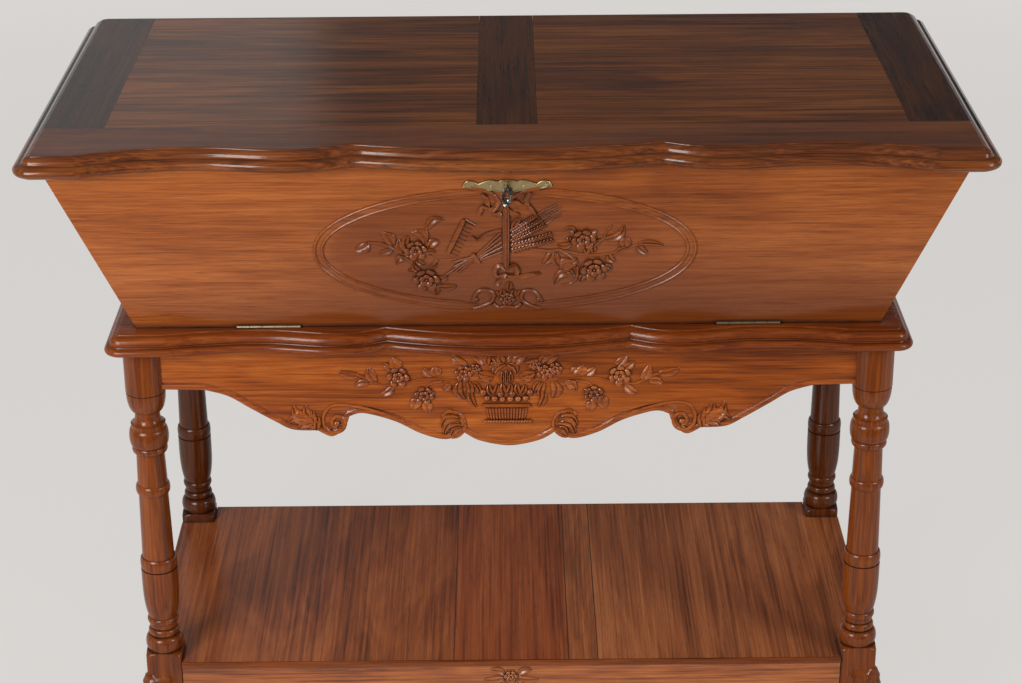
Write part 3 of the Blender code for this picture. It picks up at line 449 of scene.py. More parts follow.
class Form:
    """A mesh under construction, laid out in its own frame of metres."""

    def __init__(self, base: Matrix | None = None) -> None:
        """Start an empty mesh whose frame is placed in the table by base."""
        self.base = base or Matrix.Identity(4)
        self.bm = bmesh.new()
        self.ring = self.bm.verts.layers.int.new("ring")

    def loft(self, rings: Sequence[Sequence[Vector]]) -> None:
        """Draw a closed ring of edges from station to station by extrusion, and fill both ends."""
        verts = [self.bm.verts.new(point) for point in rings[0]]
        for number, vert in enumerate(verts):
            vert[self.ring] = number
        first = [self.bm.edges.new(pair) for pair in zip(verts, verts[1:] + verts[:1])]
        edges = first
        for ring in rings[1:]:
            drawn = bmesh.ops.extrude_edge_only(self.bm, edges=edges)["geom"]
            edges = [item for item in drawn if isinstance(item, bmesh.types.BMEdge)]
            for vert in drawn:
                if isinstance(vert, bmesh.types.BMVert):
                    vert.co = ring[vert[self.ring]]
        for end in (first, edges):
            bmesh.ops.edgeloop_fill(self.bm, edges=end)

    def sheet(self, columns: int, rows: int, place: Callable[[float, float], Vector]) -> None:
        """Shape a grid of shares (0 to 1 each way) by a placing function, and close its underside."""
        verts = bmesh.ops.create_grid(self.bm, x_segments=columns, y_segments=rows, size=0.5)["verts"]
        for vert in verts:
            vert.co = place(min(max(vert.co.x + 0.5, 0.0), 1.0), min(max(vert.co.y + 0.5, 0.0), 1.0))
        rim = {edge for vert in verts for edge in vert.link_edges if edge.is_boundary}
        bmesh.ops.edgeloop_fill(self.bm, edges=list(rim))

    def turned(self, profile: Sequence[Pair], steps: int) -> None:
        """Spin a profile of (radius, height) about the frame's third axis."""
        verts = [self.bm.verts.new((radius, 0.0, height)) for radius, height in profile]
        edges = [self.bm.edges.new(pair) for pair in zip(verts, verts[1:])]
        bmesh.ops.spin(
            self.bm, geom=verts + edges, cent=(0, 0, 0), axis=(0, 0, 1), angle=TURN, steps=steps,
            use_merge=True,
        )

    def knob(self, centre: Pair, radius: float, rise: float, around: int = 12) -> None:
        """Set a round knob on the face."""
        place = Matrix.Translation((centre[0], centre[1], 0)) @ Matrix.Diagonal((radius, radius, rise, 1))
        self.ball(place, around, max(6, around // 2))

    def ball(self, place: Matrix, around: int, rows: int) -> None:
        """Add a unit ball, placed and stretched."""
        bmesh.ops.create_uvsphere(self.bm, u_segments=around, v_segments=rows, radius=1, matrix=place)

    def seed(self, place: Matrix, detail: int) -> None:
        """Add a faceted unit ball, placed and stretched."""
        bmesh.ops.create_icosphere(self.bm, subdivisions=detail, radius=1, matrix=place)

    def finish(
        self, name: str, body: Body, slot: Slot, material: bpy.types.Material, stands_for: Sequence[str] = ()
    ) -> None:
        """Close the mesh and hang it on the table.

        Args:
            name: The piece's name.
            body: The body that it rides on.
            slot: The record's slot; not used.
            material: Its finish.
            stands_for: The solids that it replaces.
        """
        bmesh.ops.remove_doubles(self.bm, verts=self.bm.verts, dist=WELD)
        bmesh.ops.recalc_face_normals(self.bm, faces=self.bm.faces)
        self.bm.transform(self.base)
        mesh = bpy.data.meshes.new(name)
        self.bm.to_mesh(mesh)
        self.bm.free()
        mesh.shade_smooth()
        mesh.set_sharp_from_angle(angle=SHARP)
        mesh.materials.append(material)
        piece = bpy.data.objects.new(name, mesh)
        bpy.context.scene.collection.objects.link(piece)
        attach(piece, body.value)
        if stands_for:
            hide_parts(*stands_for)
        LOG.info("%s: %d faces on %s", name, len(mesh.polygons), body.value)


def box_of(name: str) -> tuple[Vector, Vector]:
    """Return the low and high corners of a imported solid."""
    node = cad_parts[name]
    corners = [node.matrix_world @ Vector(corner) for corner in node.bound_box]
    axes = list(zip(*corners))
    return Vector([min(axis) for axis in axes]), Vector([max(axis) for axis in axes])


def mirrored_point(point: Pair) -> Pair:
    """Return a point on the other side of the middle."""
    return (-point[0], point[1])


def mirrored_line(line: Sequence[Pair]) -> list[Pair]:
    """Return a line on the other side of the middle."""
    return [mirrored_point(point) for point in line]


@dataclass(frozen=True)
class Leaf:
    """A carved leaf on a board's face, in millimetres, bent sideways by a share of its length."""

    base: Pair
    tip: Pair
    width: float
    bend: float = 0.0
    rise: float = 3.0

    def mirrored(self) -> "Leaf":
        """Return the leaf on the other side of the middle."""
        return replace(self, base=mirrored_point(self.base), tip=mirrored_point(self.tip), bend=-self.bend)


@dataclass(frozen=True)
class Flower:
    """A carved flower on a board's face, in millimetres."""

    centre: Pair
    radius: float
    rise: float = 3.0
    petals: int = 5

    def mirrored(self) -> "Flower":
        """Return the flower on the other side of the middle."""
        return replace(self, centre=mirrored_point(self.centre))


def leaves(*rows: Sequence[float]) -> tuple[Leaf, ...]:
    """Return leaves from rows of base x, y, tip x, y and width, then the bend and rise where they count."""
    return tuple(Leaf((row[0], row[1]), (row[2], row[3]), *row[4:]) for row in rows)


class Relief(Form):
    """Carving in low relief: its first two axes lie in the board's face and the third stands out."""

    LEAF_MESH = (12, 8)
    LEAF_POINT = 0.06
    LEAF_BELLY = 0.8
    LEAF_ROUND = 0.7
    GROOVE_DEPTH = 0.62
    GROOVE_WIDTH = 0.30
    PETAL_RINGS = ((0.66, 0.38, 0.37, 0.46, 1), (0.33, 0.25, 0.27, 0.80, 0))
    PETAL_TILT = -0.42
    STEM_SIDES = 8
    RIBBON = ((-1, None), (-0.92, 0.58), (-0.3, 0.50), (0.3, 0.50), (0.92, 0.58), (1, None))
    RIBBON_ROLL = 0.42
    GRAINS = 12
    GRAIN_HALF = 0.0019
    GRAIN_TURN = 0.55
    ROW_GAP = 0.0027
    BEARD_ROOT = 10.0
    BEARD_SPREAD = 3.6

    def __init__(self, base: Matrix, bold: float = 1.0) -> None:
        """Start an empty carving whose leaves and flowers are this much bolder than drawn."""
        super().__init__(base)
        self.bold = bold

    def leaf(self, leaf: Leaf) -> None:
        """Carve a leaf with a hollow along its middle."""
        base, tip = Vector(leaf.base) * MM, Vector(leaf.tip) * MM
        width, rise = leaf.width * self.bold * MM, leaf.rise * self.bold * MM
        along = tip - base
        across = Vector((-along.y, along.x)) / along.length

        def place(u: float, v: float) -> Vector:
            """Return the place of a share along and across the leaf."""
            side = -math.cos(math.pi * v)
            swell = max(math.sin(math.pi * u ** self.LEAF_BELLY), 0.0) ** self.LEAF_ROUND
            half = width / 2 * (self.LEAF_POINT + (1 - self.LEAF_POINT) * swell)
            bow = 4 * u * (1 - u) * leaf.bend * along.length
            spot = base + along * u + across * (bow + half * side)
            groove = 1 - self.GROOVE_DEPTH * math.exp(-((side / self.GROOVE_WIDTH) ** 2))
            crown = math.sqrt(max(1 - abs(side) ** 3, 0.0)) * groove
            height = rise * (0.5 + 0.5 * math.sin(math.pi * u ** 0.8)) * crown
            return Vector((spot.x, spot.y, (0.0 if on_rim(u, v) else height) - SINK))

        self.sheet(*self.LEAF_MESH, place)

    def flower(self, flower: Flower) -> None:
        """Carve an open rose: two rings of cupped petals round a button."""
        centre = Vector(flower.centre) * MM
        radius = flower.radius * (0.72 + 0.28 * self.bold) * MM
        rise = flower.rise * (0.4 + 0.6 * self.bold) * MM
        phase = flower.centre[0] * 0.7
        for reach, deep, wide, share, extra in self.PETAL_RINGS:
            petals = flower.petals + extra
            for number in range(petals):
                angle = phase + TURN * (number + reach) / petals
                out = Vector((math.cos(angle), math.sin(angle))) * radius * reach
                spot = Matrix.Translation((centre.x + out.x, centre.y + out.y, rise * share))
                cup = Matrix.Rotation(angle, 4, "Z") @ Matrix.Rotation(self.PETAL_TILT, 4, "Y")
                size = Matrix.Diagonal((radius * deep, radius * wide, rise * 0.42, 1))
                self.ball(spot @ cup @ size, 10, 6)
        self.knob(tuple(centre), radius * 0.15, rise * 1.2, 8)

    @staticmethod
    def across(path: Sequence[Vector], number: int) -> Vector:
        """Return the sideways direction at a point of a path."""
        ahead = path[min(number + 1, len(path) - 1)] - path[max(number - 1, 0)]
        return Vector((-ahead.y, ahead.x)).normalized()

    def stem(
        self, line: Sequence[Pair], start: float, end: float, lift: float = 0.0, steps: int = 5
    ) -> None:
        """Carve a half-round stem along a line of millimetres, tapered between two radii of millimetres."""
        path = through(line, steps)
        rings = []
        for number, spot in enumerate(path):
            across = self.across(path, number)
            radius = (start + (end - start) * number / (len(path) - 1)) * MM
            ring = []
            for facet in range(self.STEM_SIDES):
                angle = TURN * (facet + 0.5) / self.STEM_SIDES
                side = spot * MM + across * (radius * math.cos(angle))
                ring.append(Vector((side.x, side.y, max(lift + radius * math.sin(angle), -SINK))))
            rings.append(ring)
        self.loft(rings)

    def ribbon(self, line: Sequence[Pair], width: float, rise: float, ripples: float) -> None:
        """Carve a flat ribbon that rolls from edge to edge as it goes."""
        path = through(line)
        rings = []
        for number, spot in enumerate(path):
            share = number / (len(path) - 1)
            across = self.across(path, number)
            half = width / 2 * (0.45 + 0.55 * math.sin(math.pi * (0.12 + 0.76 * share)))
            roll = self.RIBBON_ROLL * math.sin(TURN * ripples * share + 0.6)
            ring = []
            for side, height in self.RIBBON:
                level = -SINK if height is None else rise * MM * (height + roll * side)
                point = (spot + across * (half * side)) * MM
                ring.append(Vector((point.x, point.y, level)))
            rings.append(ring)
        self.loft(rings)

    def ear(self, base: Pair, tip: Pair, awn: Pair) -> None:
        """Carve an ear of wheat: three rows of grains and a beard."""
        start = Vector(base) * MM
        along = Vector(tip) * MM - start
        step = along.length / self.GRAINS
        heading = math.atan2(along.y, along.x)
        across = Vector((-along.y, along.x)).normalized()
        ahead = along.normalized()
        for number in range(self.GRAINS):
            share = (number + 0.5) / self.GRAINS
            plump = 1.0 - 0.35 * share
            for row in (-1, 0, 1):
                spot = start + along * (share + (0.4 / self.GRAINS if row == 0 else 0.0))
                spot = spot + across * (row * self.ROW_GAP * plump)
                turn = Matrix.Rotation(heading + row * self.GRAIN_TURN, 4, "Z")
                height = 0.0020 if row else 0.0029
                place = Matrix.Translation((spot.x, spot.y, height)) @ turn
                shape = Matrix.Diagonal((step * 0.74, self.GRAIN_HALF * plump, self.GRAIN_HALF, 1))
                self.seed(place @ shape, 1)
        for row in (-1, 0, 1):
            outer = row != 0
            root = Vector(tip) + across * (row * 1.5) - ahead * (self.BEARD_ROOT * outer)
            end = Vector(awn) + across * (row * self.BEARD_SPREAD) - ahead * (6.0 + 2.5 * row) * outer
            if (end - root).length > 6:
                self.stem((tuple(root), tuple(end)), 0.85, 0.45, 0.0008, 3)

    def garland(
        self, stems: Sequence[Sequence[Pair]], sprays: Sequence[Leaf], flowers: Sequence[Flower], thick: float
    ) -> None:
        """Carve stems with their leaves and flowers."""
        for line in stems:
            self.stem(line, thick, thick * 0.55)
        for leaf in sprays:
            self.leaf(leaf)
        for flower in flowers:
            self.flower(flower)


@dataclass(frozen=True)
class Serpentine:
    """A shaped front edge, by how far it sets back from the front line at its turns."""

    bow: float
    cusp_x: float
    cusp: float
    bulge_x: float
    bulge: float
    hollow_x: float
    hollow: float

    def set_back(self, x: float, end_x: float) -> float:
        """Return the set-back at a distance from the middle."""
        if x <= self.cusp_x:
            return self.bow + (self.cusp - self.bow) * (x / self.cusp_x) ** 2
        if x <= self.bulge_x:
            share = (self.bulge_x - x) / (self.bulge_x - self.cusp_x)
            return self.bulge + (self.cusp - self.bulge) * share ** 2
        if x <= self.hollow_x:
            share = (x - self.bulge_x) / (self.hollow_x - self.bulge_x)
            return self.bulge + (self.hollow - self.bulge) * (1 - math.cos(math.pi * share)) / 2
        share = min((x - self.hollow_x) / (end_x - self.hollow_x), 1.0)
        return self.hollow * (1 - share ** 2)


@dataclass
class MouldedFrame:
    """A board edge with a run moulding: a serpentine front rail with rounded corners, and straight ends."""

    name: str
    plan: Serpentine
    half_x: float
    front_y: float
    seam_y: float
    back_y: float
    end_inner_x: float
    top_z: float
    radius: float
    straight: float
    back_round: float
    profile: tuple
    finish: WoodFinish
    end_finish: WoodFinish
    rail_node: str
    end_nodes: tuple[str, str]
    fitting: str | None = None
    pocket_depth: float = 0.009
    play: float = 0.0003
    run_steps: int = 14
    corner_steps: int = 8
    end_steps: int = 4
    back_steps: int = 6

    def front_line(self) -> list[Vector]:
        """Return the rail's outer line from its left end round the front to its right end."""
        end_x = self.half_x - self.radius - self.straight
        turns = (0.0, self.plan.cusp_x, self.plan.bulge_x, self.plan.hollow_x, end_x)
        right = []
        for start, stop in zip(turns, turns[1:]):
            right += [start + (stop - start) * share for share in shares(self.run_steps)[:-1]]
        half = [Vector((x, self.front_y + self.plan.set_back(x, end_x))) for x in right + [end_x]]
        for share in shares(self.corner_steps):
            angle = QUARTER * share
            x = self.half_x - self.radius + self.radius * math.sin(angle)
            half.append(Vector((x, self.front_y + self.radius - self.radius * math.cos(angle))))
        half.append(Vector((self.half_x, self.seam_y)))
        return [Vector((-point.x, point.y)) for point in reversed(half[1:])] + half

    def rings(
        self, line: Sequence[Vector], inner: Callable[[Vector], Vector], across: Vector | None = None
    ) -> list[list[Vector]]:
        """Return the moulding's section at each point of a line.

        Args:
            line: The outer line, with the board on its left.
            inner: Gives the seam's point behind a point of the line.
            across: The way in from the line, or None to mitre it at each corner.

        Returns:
            One closed ring for each point.
        """
        made = []
        for number, spot in enumerate(line):
            before = (spot - line[number - 1]).normalized() if number else None
            after = (line[number + 1] - spot).normalized() if number + 1 < len(line) else None
            ways = [Vector((-way.y, way.x)) for way in (before, after) if way is not None]
            inward = sum(ways, Vector((0, 0)))
            inward = across or inward / max(inward.dot(ways[0]), 0.2)
            ring = []
            for inset, drop in self.profile:
                point = spot + inward * inset * MM
                ring.append(Vector((point.x, point.y, self.top_z - drop * MM)))
            seam = inner(spot)
            low = self.top_z - self.profile[-1][1] * MM
            made.append([Vector((seam.x, seam.y, self.top_z)), *ring, Vector((seam.x, seam.y, low))])
        return made

    def pocket(self, form: Form) -> None:
        """Sink a pocket into the rail's underside over the fitting let into it."""
        low, high = box_of(self.fitting)
        play = Vector((self.play, self.play, 0))
        low, high = low - play, high + play
        bottom = self.top_z - self.profile[-1][1] * MM
        for axis in (Vector((1, 0, 0)), Vector((0, 1, 0))):
            for corner in (low, high):
                whole = form.bm.verts[:] + form.bm.edges[:] + form.bm.faces[:]
                bmesh.ops.bisect_plane(form.bm, geom=whole, plane_co=corner, plane_no=axis)
        mouth = []
        for face in form.bm.faces:
            spot = face.calc_center_median()
            if low.x < spot.x < high.x and low.y < spot.y < high.y and abs(spot.z - bottom) < FLUSH:
                mouth.append(face)
        drawn = bmesh.ops.extrude_face_region(form.bm, geom=mouth)["geom"]
        roof = [item for item in drawn if isinstance(item, bmesh.types.BMVert)]
        bmesh.ops.translate(form.bm, verts=roof, vec=(0, 0, self.pocket_depth))
        bmesh.ops.delete(form.bm, geom=[face for face in mouth if face.is_valid], context="FACES_ONLY")

    def rail(self) -> None:
        """Make the front rail."""
        shoulder = self.half_x - self.profile[0][0] * MM
        form = Form()
        form.loft(self.rings(
            self.front_line(), lambda spot: Vector((min(max(spot.x, -shoulder), shoulder), self.seam_y))
        ))
        if self.fitting:
            self.pocket(form)
        wood = self.finish.material(Grain.ALONG_X, 1.0)
        form.finish(f"{self.name}_front_moulding", Body.TABLE, self.finish.slot, wood, (self.rail_node,))

    def end(self, side: int, word: str, node: str) -> None:
        """Make the moulded end on one side."""
        start, stop = self.seam_y + self.play, self.back_y - self.back_round
        stations = [start + (stop - start) * share for share in shares(self.end_steps)[:-1]]
        line = [Vector((side * self.half_x, y)) for y in stations]
        for share in shares(self.back_steps):
            angle = QUARTER * share
            x = self.half_x - self.back_round * (1 - math.cos(angle))
            line.append(Vector((side * x, stop + self.back_round * math.sin(angle))))
        form = Form()
        form.loft(self.rings(
            line, lambda spot: Vector((side * self.end_inner_x, spot.y)), Vector((-side, 0))
        ))
        wood = self.end_finish.material(Grain.ALONG_Y, 2.0 + side)
        form.finish(f"{self.name}_end_moulding_{word}", Body.TABLE, self.finish.slot, wood, (node,))

    def build(self) -> None:
        """Make the front rail and the two ends."""
        self.rail()
        for (side, word), node in zip(SIDES, self.end_nodes):
            self.end(side, word, node)


@dataclass(frozen=True)
class Turning:
    """One member of the turned leg, from the top down."""

    shape: str
    start: float
    reach: float
    height: float

    def radius(self, t: float) -> float:
        """Return the radius at a share of the member's height."""
        swell = {
            "line": t, "bead": math.sqrt(max(1 - (2 * t - 1) ** 2, 0.0)),
            "quarter": 1 - math.sqrt(max(1 - t * t, 0.0)), "vase": t ** 4,
        }[self.shape]
        return self.start + (self.reach - self.start) * swell


@dataclass
class Legs:
    """Four turned legs, each with a square block, a carved knee and a cabriole foot."""

    finish: WoodFinish
    # The back legs' darker copy of the wood is painted shade.
    shaded_back_finish: WoodFinish
    x: float = 0.5122
    y: float = 0.2169
    top_z: float = 0.6924
    block_half: float = 0.026
    block_top: float = 0.201
    block_low: float = 0.108
    block_taper: float = 0.03
    block_square: float = 18.0
    shoulder: float = 0.013
    shoulder_steps: int = 8
    shoulder_reach: Pair = (0.0262, 0.0112)
    foot_top: float = 0.186
    foot_edge: float = 0.004
    foot_rows: int = 44
    foot_square: float = 3.2
    knee_top: float = 0.1685
    knee_low: float = 0.062
    knee_half: float = 0.0235
    knee_girth: float = 0.034
    knee_rise: float = 0.0052
    knee_sink: float = 0.0008
    knee_mesh: tuple[int, int] = (36, 18)
    bead_steps: int = 14
    around: int = 64
    turnings: tuple = (
        Turning("line", 0.0283, 0.0283, 0.0727), Turning("line", 0.0265, 0.0265, 0.0015),
        Turning("quarter", 0.0279, 0.0180, 0.0305), Turning("line", 0.0180, 0.0178, 0.0055),
        Turning("quarter", 0.0178, 0.0247, 0.0126), Turning("line", 0.0240, 0.0240, 0.0060),
        Turning("bead", 0.0240, 0.0280, 0.0291), Turning("bead", 0.0225, 0.0252, 0.0101),
        Turning("line", 0.0200, 0.0214, 0.0505), Turning("bead", 0.0214, 0.0246, 0.0161),
        Turning("line", 0.0211, 0.0231, 0.1034), Turning("bead", 0.0245, 0.0267, 0.0199),
        Turning("vase", 0.0264, 0.0205, 0.0792), Turning("bead", 0.0200, 0.0228, 0.0103),
        Turning("quarter", 0.0205, 0.0184, 0.0084), Turning("bead", 0.0190, 0.0225, 0.0120),
        Turning("bead", 0.0215, 0.0275, 0.0256),
    )
    foot: tuple = (
        (0.178, 0.020, 0.000), (0.150, 0.0275, 0.004), (0.115, 0.0285, 0.008), (0.075, 0.0205, 0.007),
        (0.040, 0.0165, 0.003), (0.018, 0.0195, 0.009), (0.004, 0.0185, 0.011), (0.0, 0.0165, 0.011),
    )

    def profile(self) -> list[Pair]:
        """Return the turned column's (radius, height) line from top to bottom."""
        line = [(0.0, self.top_z)]
        z = self.top_z
        for member in self.turnings:
            for share in shares(1 if member.shape == "line" else self.bead_steps):
                line.append((member.radius(share), z - member.height * share))
            z -= member.height
        line.append((0.0, z))
        return [point for number, point in enumerate(line) if number == 0 or point != line[number - 1]]

    def foot_at(self, z: float) -> Pair:
        """Return the foot's half width and outward kick at a height."""
        for (z0, half0, kick0), (z1, half1, kick1) in zip(self.foot, self.foot[1:]):
            if z1 <= z <= z0:
                t = eased((z0 - z) / (z0 - z1))
                return half0 + (half1 - half0) * t, kick0 + (kick1 - kick0) * t
        return 0.0, 0.0

    def reach(self, angle: float, z: float) -> float:
        """Return the surface's distance from the leg's axis, with the foot kicking towards 45 degrees."""
        c, s = math.cos(angle), math.sin(angle)
        block = 0.0
        if z >= self.block_low:
            taper = eased(min((z - self.block_low) / self.block_taper, 1.0))
            square = (abs(c) ** self.block_square + abs(s) ** self.block_square) ** (1 / self.block_square)
            block = self.block_half * (0.86 + 0.14 * taper) / square
            over = z - (self.block_top - self.shoulder)
            if over > 0:
                round_over = math.sqrt(max(1 - (over / self.shoulder) ** 2, 0.0))
                block = min(block, self.shoulder_reach[0] + self.shoulder_reach[1] * round_over)
        half, kick = self.foot_at(z)
        if half <= 0:
            return block
        power = self.foot_square
        low, high = 0.0, half * 2 + kick * 2
        while high - low > FINE:
            middle = (low + high) / 2
            inside = abs(middle * c - kick) ** power + abs(middle * s - kick) ** power < half ** power
            low, high = (middle, high) if inside else (low, middle)
        return max(block, low)

    def knee(self, form: Form) -> None:
        """Carve the acanthus leaf that wraps the outer corner of the block and knee."""

        def place(u: float, v: float) -> Vector:
            """Return the place of a share down and across the leaf."""
            side = 2 * v - 1
            z = self.knee_top + (self.knee_low - self.knee_top) * u
            lobes = 0.82 + 0.18 * abs(math.sin(3.5 * math.pi * u ** 0.9))
            swell = max(math.sin(math.pi * min(0.03 + u * 0.97, 1.0)), 0.04) ** 0.6
            angle = math.pi / 4 + side * self.knee_half * swell * lobes / self.knee_girth
            crown = math.sqrt(max(1 - side * side, 0.0)) ** 0.5
            groove = 0.45 * math.exp(-((side / 0.16) ** 2))
            veins = 0.18 * abs(math.sin(7 * math.pi * (u - 0.25 * abs(side))))
            height = -self.knee_sink if on_rim(u, v) else self.knee_rise * crown * (1 - groove - veins)
            radius = self.reach(angle, z) + height
            return Vector((radius * math.cos(angle), radius * math.sin(angle), z))

        form.sheet(*self.knee_mesh, place)

    def heights(self) -> list[float]:
        """Return the levels of the block and foot, from the top down."""
        turns = [QUARTER * share for share in shares(self.shoulder_steps)]
        rounded = [self.block_top - self.shoulder * (1 - math.cos(turn)) for turn in turns]
        drop = self.foot_top - self.foot_edge
        straight = [self.foot_top - drop * share for share in shares(self.foot_rows)[1:]]
        return rounded + straight + [self.foot_edge / 2, 0.0]

    def ring(self, z: float) -> list[Vector]:
        """Return the outline of the block or foot at a height."""
        made = []
        for number in range(self.around):
            angle = TURN * number / self.around
            radius = self.reach(angle, z)
            made.append(Vector((radius * math.cos(angle), radius * math.sin(angle), z)))
        return made

    def build(self) -> None:
        """Make the four legs."""
        rings = [self.ring(z) for z in self.heights()]
        seed = 3.0
        # The back legs take the darker, painted-shade copy of the wood.
        for face, depth, finish in ((-1, "front", self.finish), (1, "back", self.shaded_back_finish)):
            for side, word in SIDES:
                spot = Matrix.Translation((side * self.x, face * self.y, 0))
                form = Form(spot @ Matrix.Diagonal((side, face, 1, 1)))
                form.turned(self.profile(), self.around)
                form.loft(rings)
                self.knee(form)
                if side * face < 0:
                    bmesh.ops.reverse_faces(form.bm, faces=form.bm.faces)
                node = f"leg_{depth}_{word}"
                wood = finish.material(Grain.ALONG_Z, seed)
                form.finish(f"{node}_turned", Body.TABLE, finish.slot, wood, (node,))
                seed += 1.0


@dataclass
class Apron:
    """A shaped apron with a raised band and a groove worked along its lower edge."""

    node: str
    turn: float
    half_length: float
    face: float
    top_z: float
    end_drop: float
    middle_drop: float
    runs: tuple
    finish: WoodFinish
    seed: float
    thick: float = 0.020
    window: float = 0.016
    curve_steps: int = 10
    end_steps: int = 4
    bead: float = 8.0
    bead_rise: float = 2.0
    groove: float = 3.4
    groove_depth: float = 0.7
    sunk: float = 1.1
    full_depth: float = 40.0
    upper_shares: tuple = (0.8, 0.9, 1.0)
    stations: tuple = (
        0.0, 0.2, 0.5, 1.0, 1.8, *(2.8 + 0.8 * step for step in range(13)), 13.6, 15, 17, 20, 24, 28, 34, 42,
    )

    def base(self) -> Matrix:
        """Return the frame of the apron's face: along, up, out."""
        face = Matrix(((1, 0, 0, 0), (0, 0, -1, -self.face), (0, 1, 0, 0), (0, 0, 0, 1)))
        return Matrix.Rotation(self.turn, 4, "Z") @ face

    def contour(self) -> list[Vector]:
        """Return the lower edge from left to right."""
        extra = self.middle_drop - self.end_drop
        low = self.top_z - self.end_drop
        ghost = (-self.runs[0][1][0], self.runs[0][1][1])
        line = through((ghost, *self.runs[0]), self.curve_steps)[self.curve_steps:]
        if len(self.runs) > 1:
            line += runs_through(self.runs[1:], self.curve_steps)[1:]
        right = [Vector((p.x * self.half_length, low - p.y * extra)) for p in line]
        last, end = right[-1], Vector((self.half_length, low))
        right += [last + (end - last) * share for share in shares(self.end_steps)[1:]]
        return [Vector((-point.x, point.y)) for point in reversed(right[1:])] + right

    def worked(self, distance: float) -> float:
        """Return the height of the worked edge at a distance from the contour, all in millimetres."""
        if distance < self.bead:
            crown = math.sqrt(max(1 - (2 * distance / self.bead - 1) ** 2, 0.0))
            return self.bead_rise * crown - self.sunk
        share = (distance - self.bead) / self.groove
        if share < 1:
            return self.sunk * (share - 1) - self.groove_depth * math.sin(math.pi * share)
        return 0.0

    def ring(self, line: Sequence[Vector], number: int) -> list[Vector]:
        """Return the board's section at a point of its lower edge."""
        spot = line[number]
        first, last = max(number - 1, 0), min(number + 1, len(line) - 1)
        while first > 0 and abs(line[first].x - spot.x) < self.window:
            first -= 1
        while last < len(line) - 1 and abs(line[last].x - spot.x) < self.window:
            last += 1
        near = line[first:last + 1]
        depth = self.top_z - spot.y
        scale = min(1.0, depth / MM / self.full_depth)
        made = []
        for station in self.stations:
            point = Vector((spot.x, spot.y + station * scale * MM))
            gap = min(self.gap(point, a, b) for a, b in zip(near, near[1:])) / MM
            made.append(Vector((point.x, point.y, self.worked(gap) * MM)))
        for share in self.upper_shares:
            made.append(Vector((spot.x, max(spot.y + depth * share, made[-1].y), 0)))
        return made + [Vector((spot.x, y, -self.thick)) for y in (self.top_z, spot.y)]

    def build(self) -> None:
        """Make the board."""
        line = self.contour()
        form = Form(self.base())
        form.loft([self.ring(line, number) for number in range(len(line))])
        grain = Grain.ALONG_X if abs(math.sin(self.turn)) < 0.5 else Grain.ALONG_Y
        wood = self.finish.material(grain, self.seed)
        form.finish(f"{self.node}_worked_board", Body.TABLE, self.finish.slot, wood, (self.node,))

    @staticmethod
    def gap(point: Vector, start: Vector, end: Vector) -> float:
        """Return a point's distance from a straight piece of the contour."""
        along = end - start
        share = min(max((point - start).dot(along) / max(along.length_squared, FINE ** 2), 0.0), 1.0)
        return (point - start - along * share).length


@dataclass
class ShelfTrim:
    """The shelf's rounded nosings, and the dark wax that fills the joints between its boards."""

    wax: WoodFinish
    finish: WoodFinish
    boards: tuple = ("shelf_board_left", "shelf_board_centre", "shelf_board_strip", "shelf_board_right")
    half_length: float = 0.4858
    joint: tuple = ((-0.9, -0.2), (-0.6, 0.1), (0.0, 0.2), (0.6, 0.1), (0.9, -0.2))
    nosing: tuple = (
        (-0.3, 0.0), (0.8, 0.0), (1.7, 0.5), (2.4, 1.5), (2.8, 3.0), (2.9, 5.0), (2.8, 7.0), (2.4, 8.5),
        (1.7, 9.5), (0.8, 10.0), (-0.3, 10.0),
    )

    def build(self) -> None:
        """Lay a thin crowned line of wax along each joint, and round the front and back edges."""
        boxes = [box_of(name) for name in self.boards]
        wax = Form()
        for (_, high), (low, _) in zip(boxes, boxes[1:]):
            middle = (high.x + low.x) / 2
            wax.loft([
                [Vector((middle + across * MM, y, high.z + up * MM)) for across, up in self.joint]
                for y in (low.y, high.y)
            ])
        wax.finish("shelf_joints", Body.TABLE, Slot.DARK_WALNUT, self.wax.material(Grain.ALONG_Y, 5.0))
        low, high = boxes[1]
        for side, face, word in ((-1, low.y, "front"), (1, high.y, "back")):
            edge = Form()
            edge.loft([
                [Vector((x, face + side * out * MM, high.z - down * MM)) for out, down in self.nosing]
                for x in (-self.half_length, self.half_length)
            ])
            wood = self.finish.material(Grain.ALONG_X, 47.0 + side)
            edge.finish(f"shelf_nosing_{word}", Body.TABLE, self.finish.slot, wood)


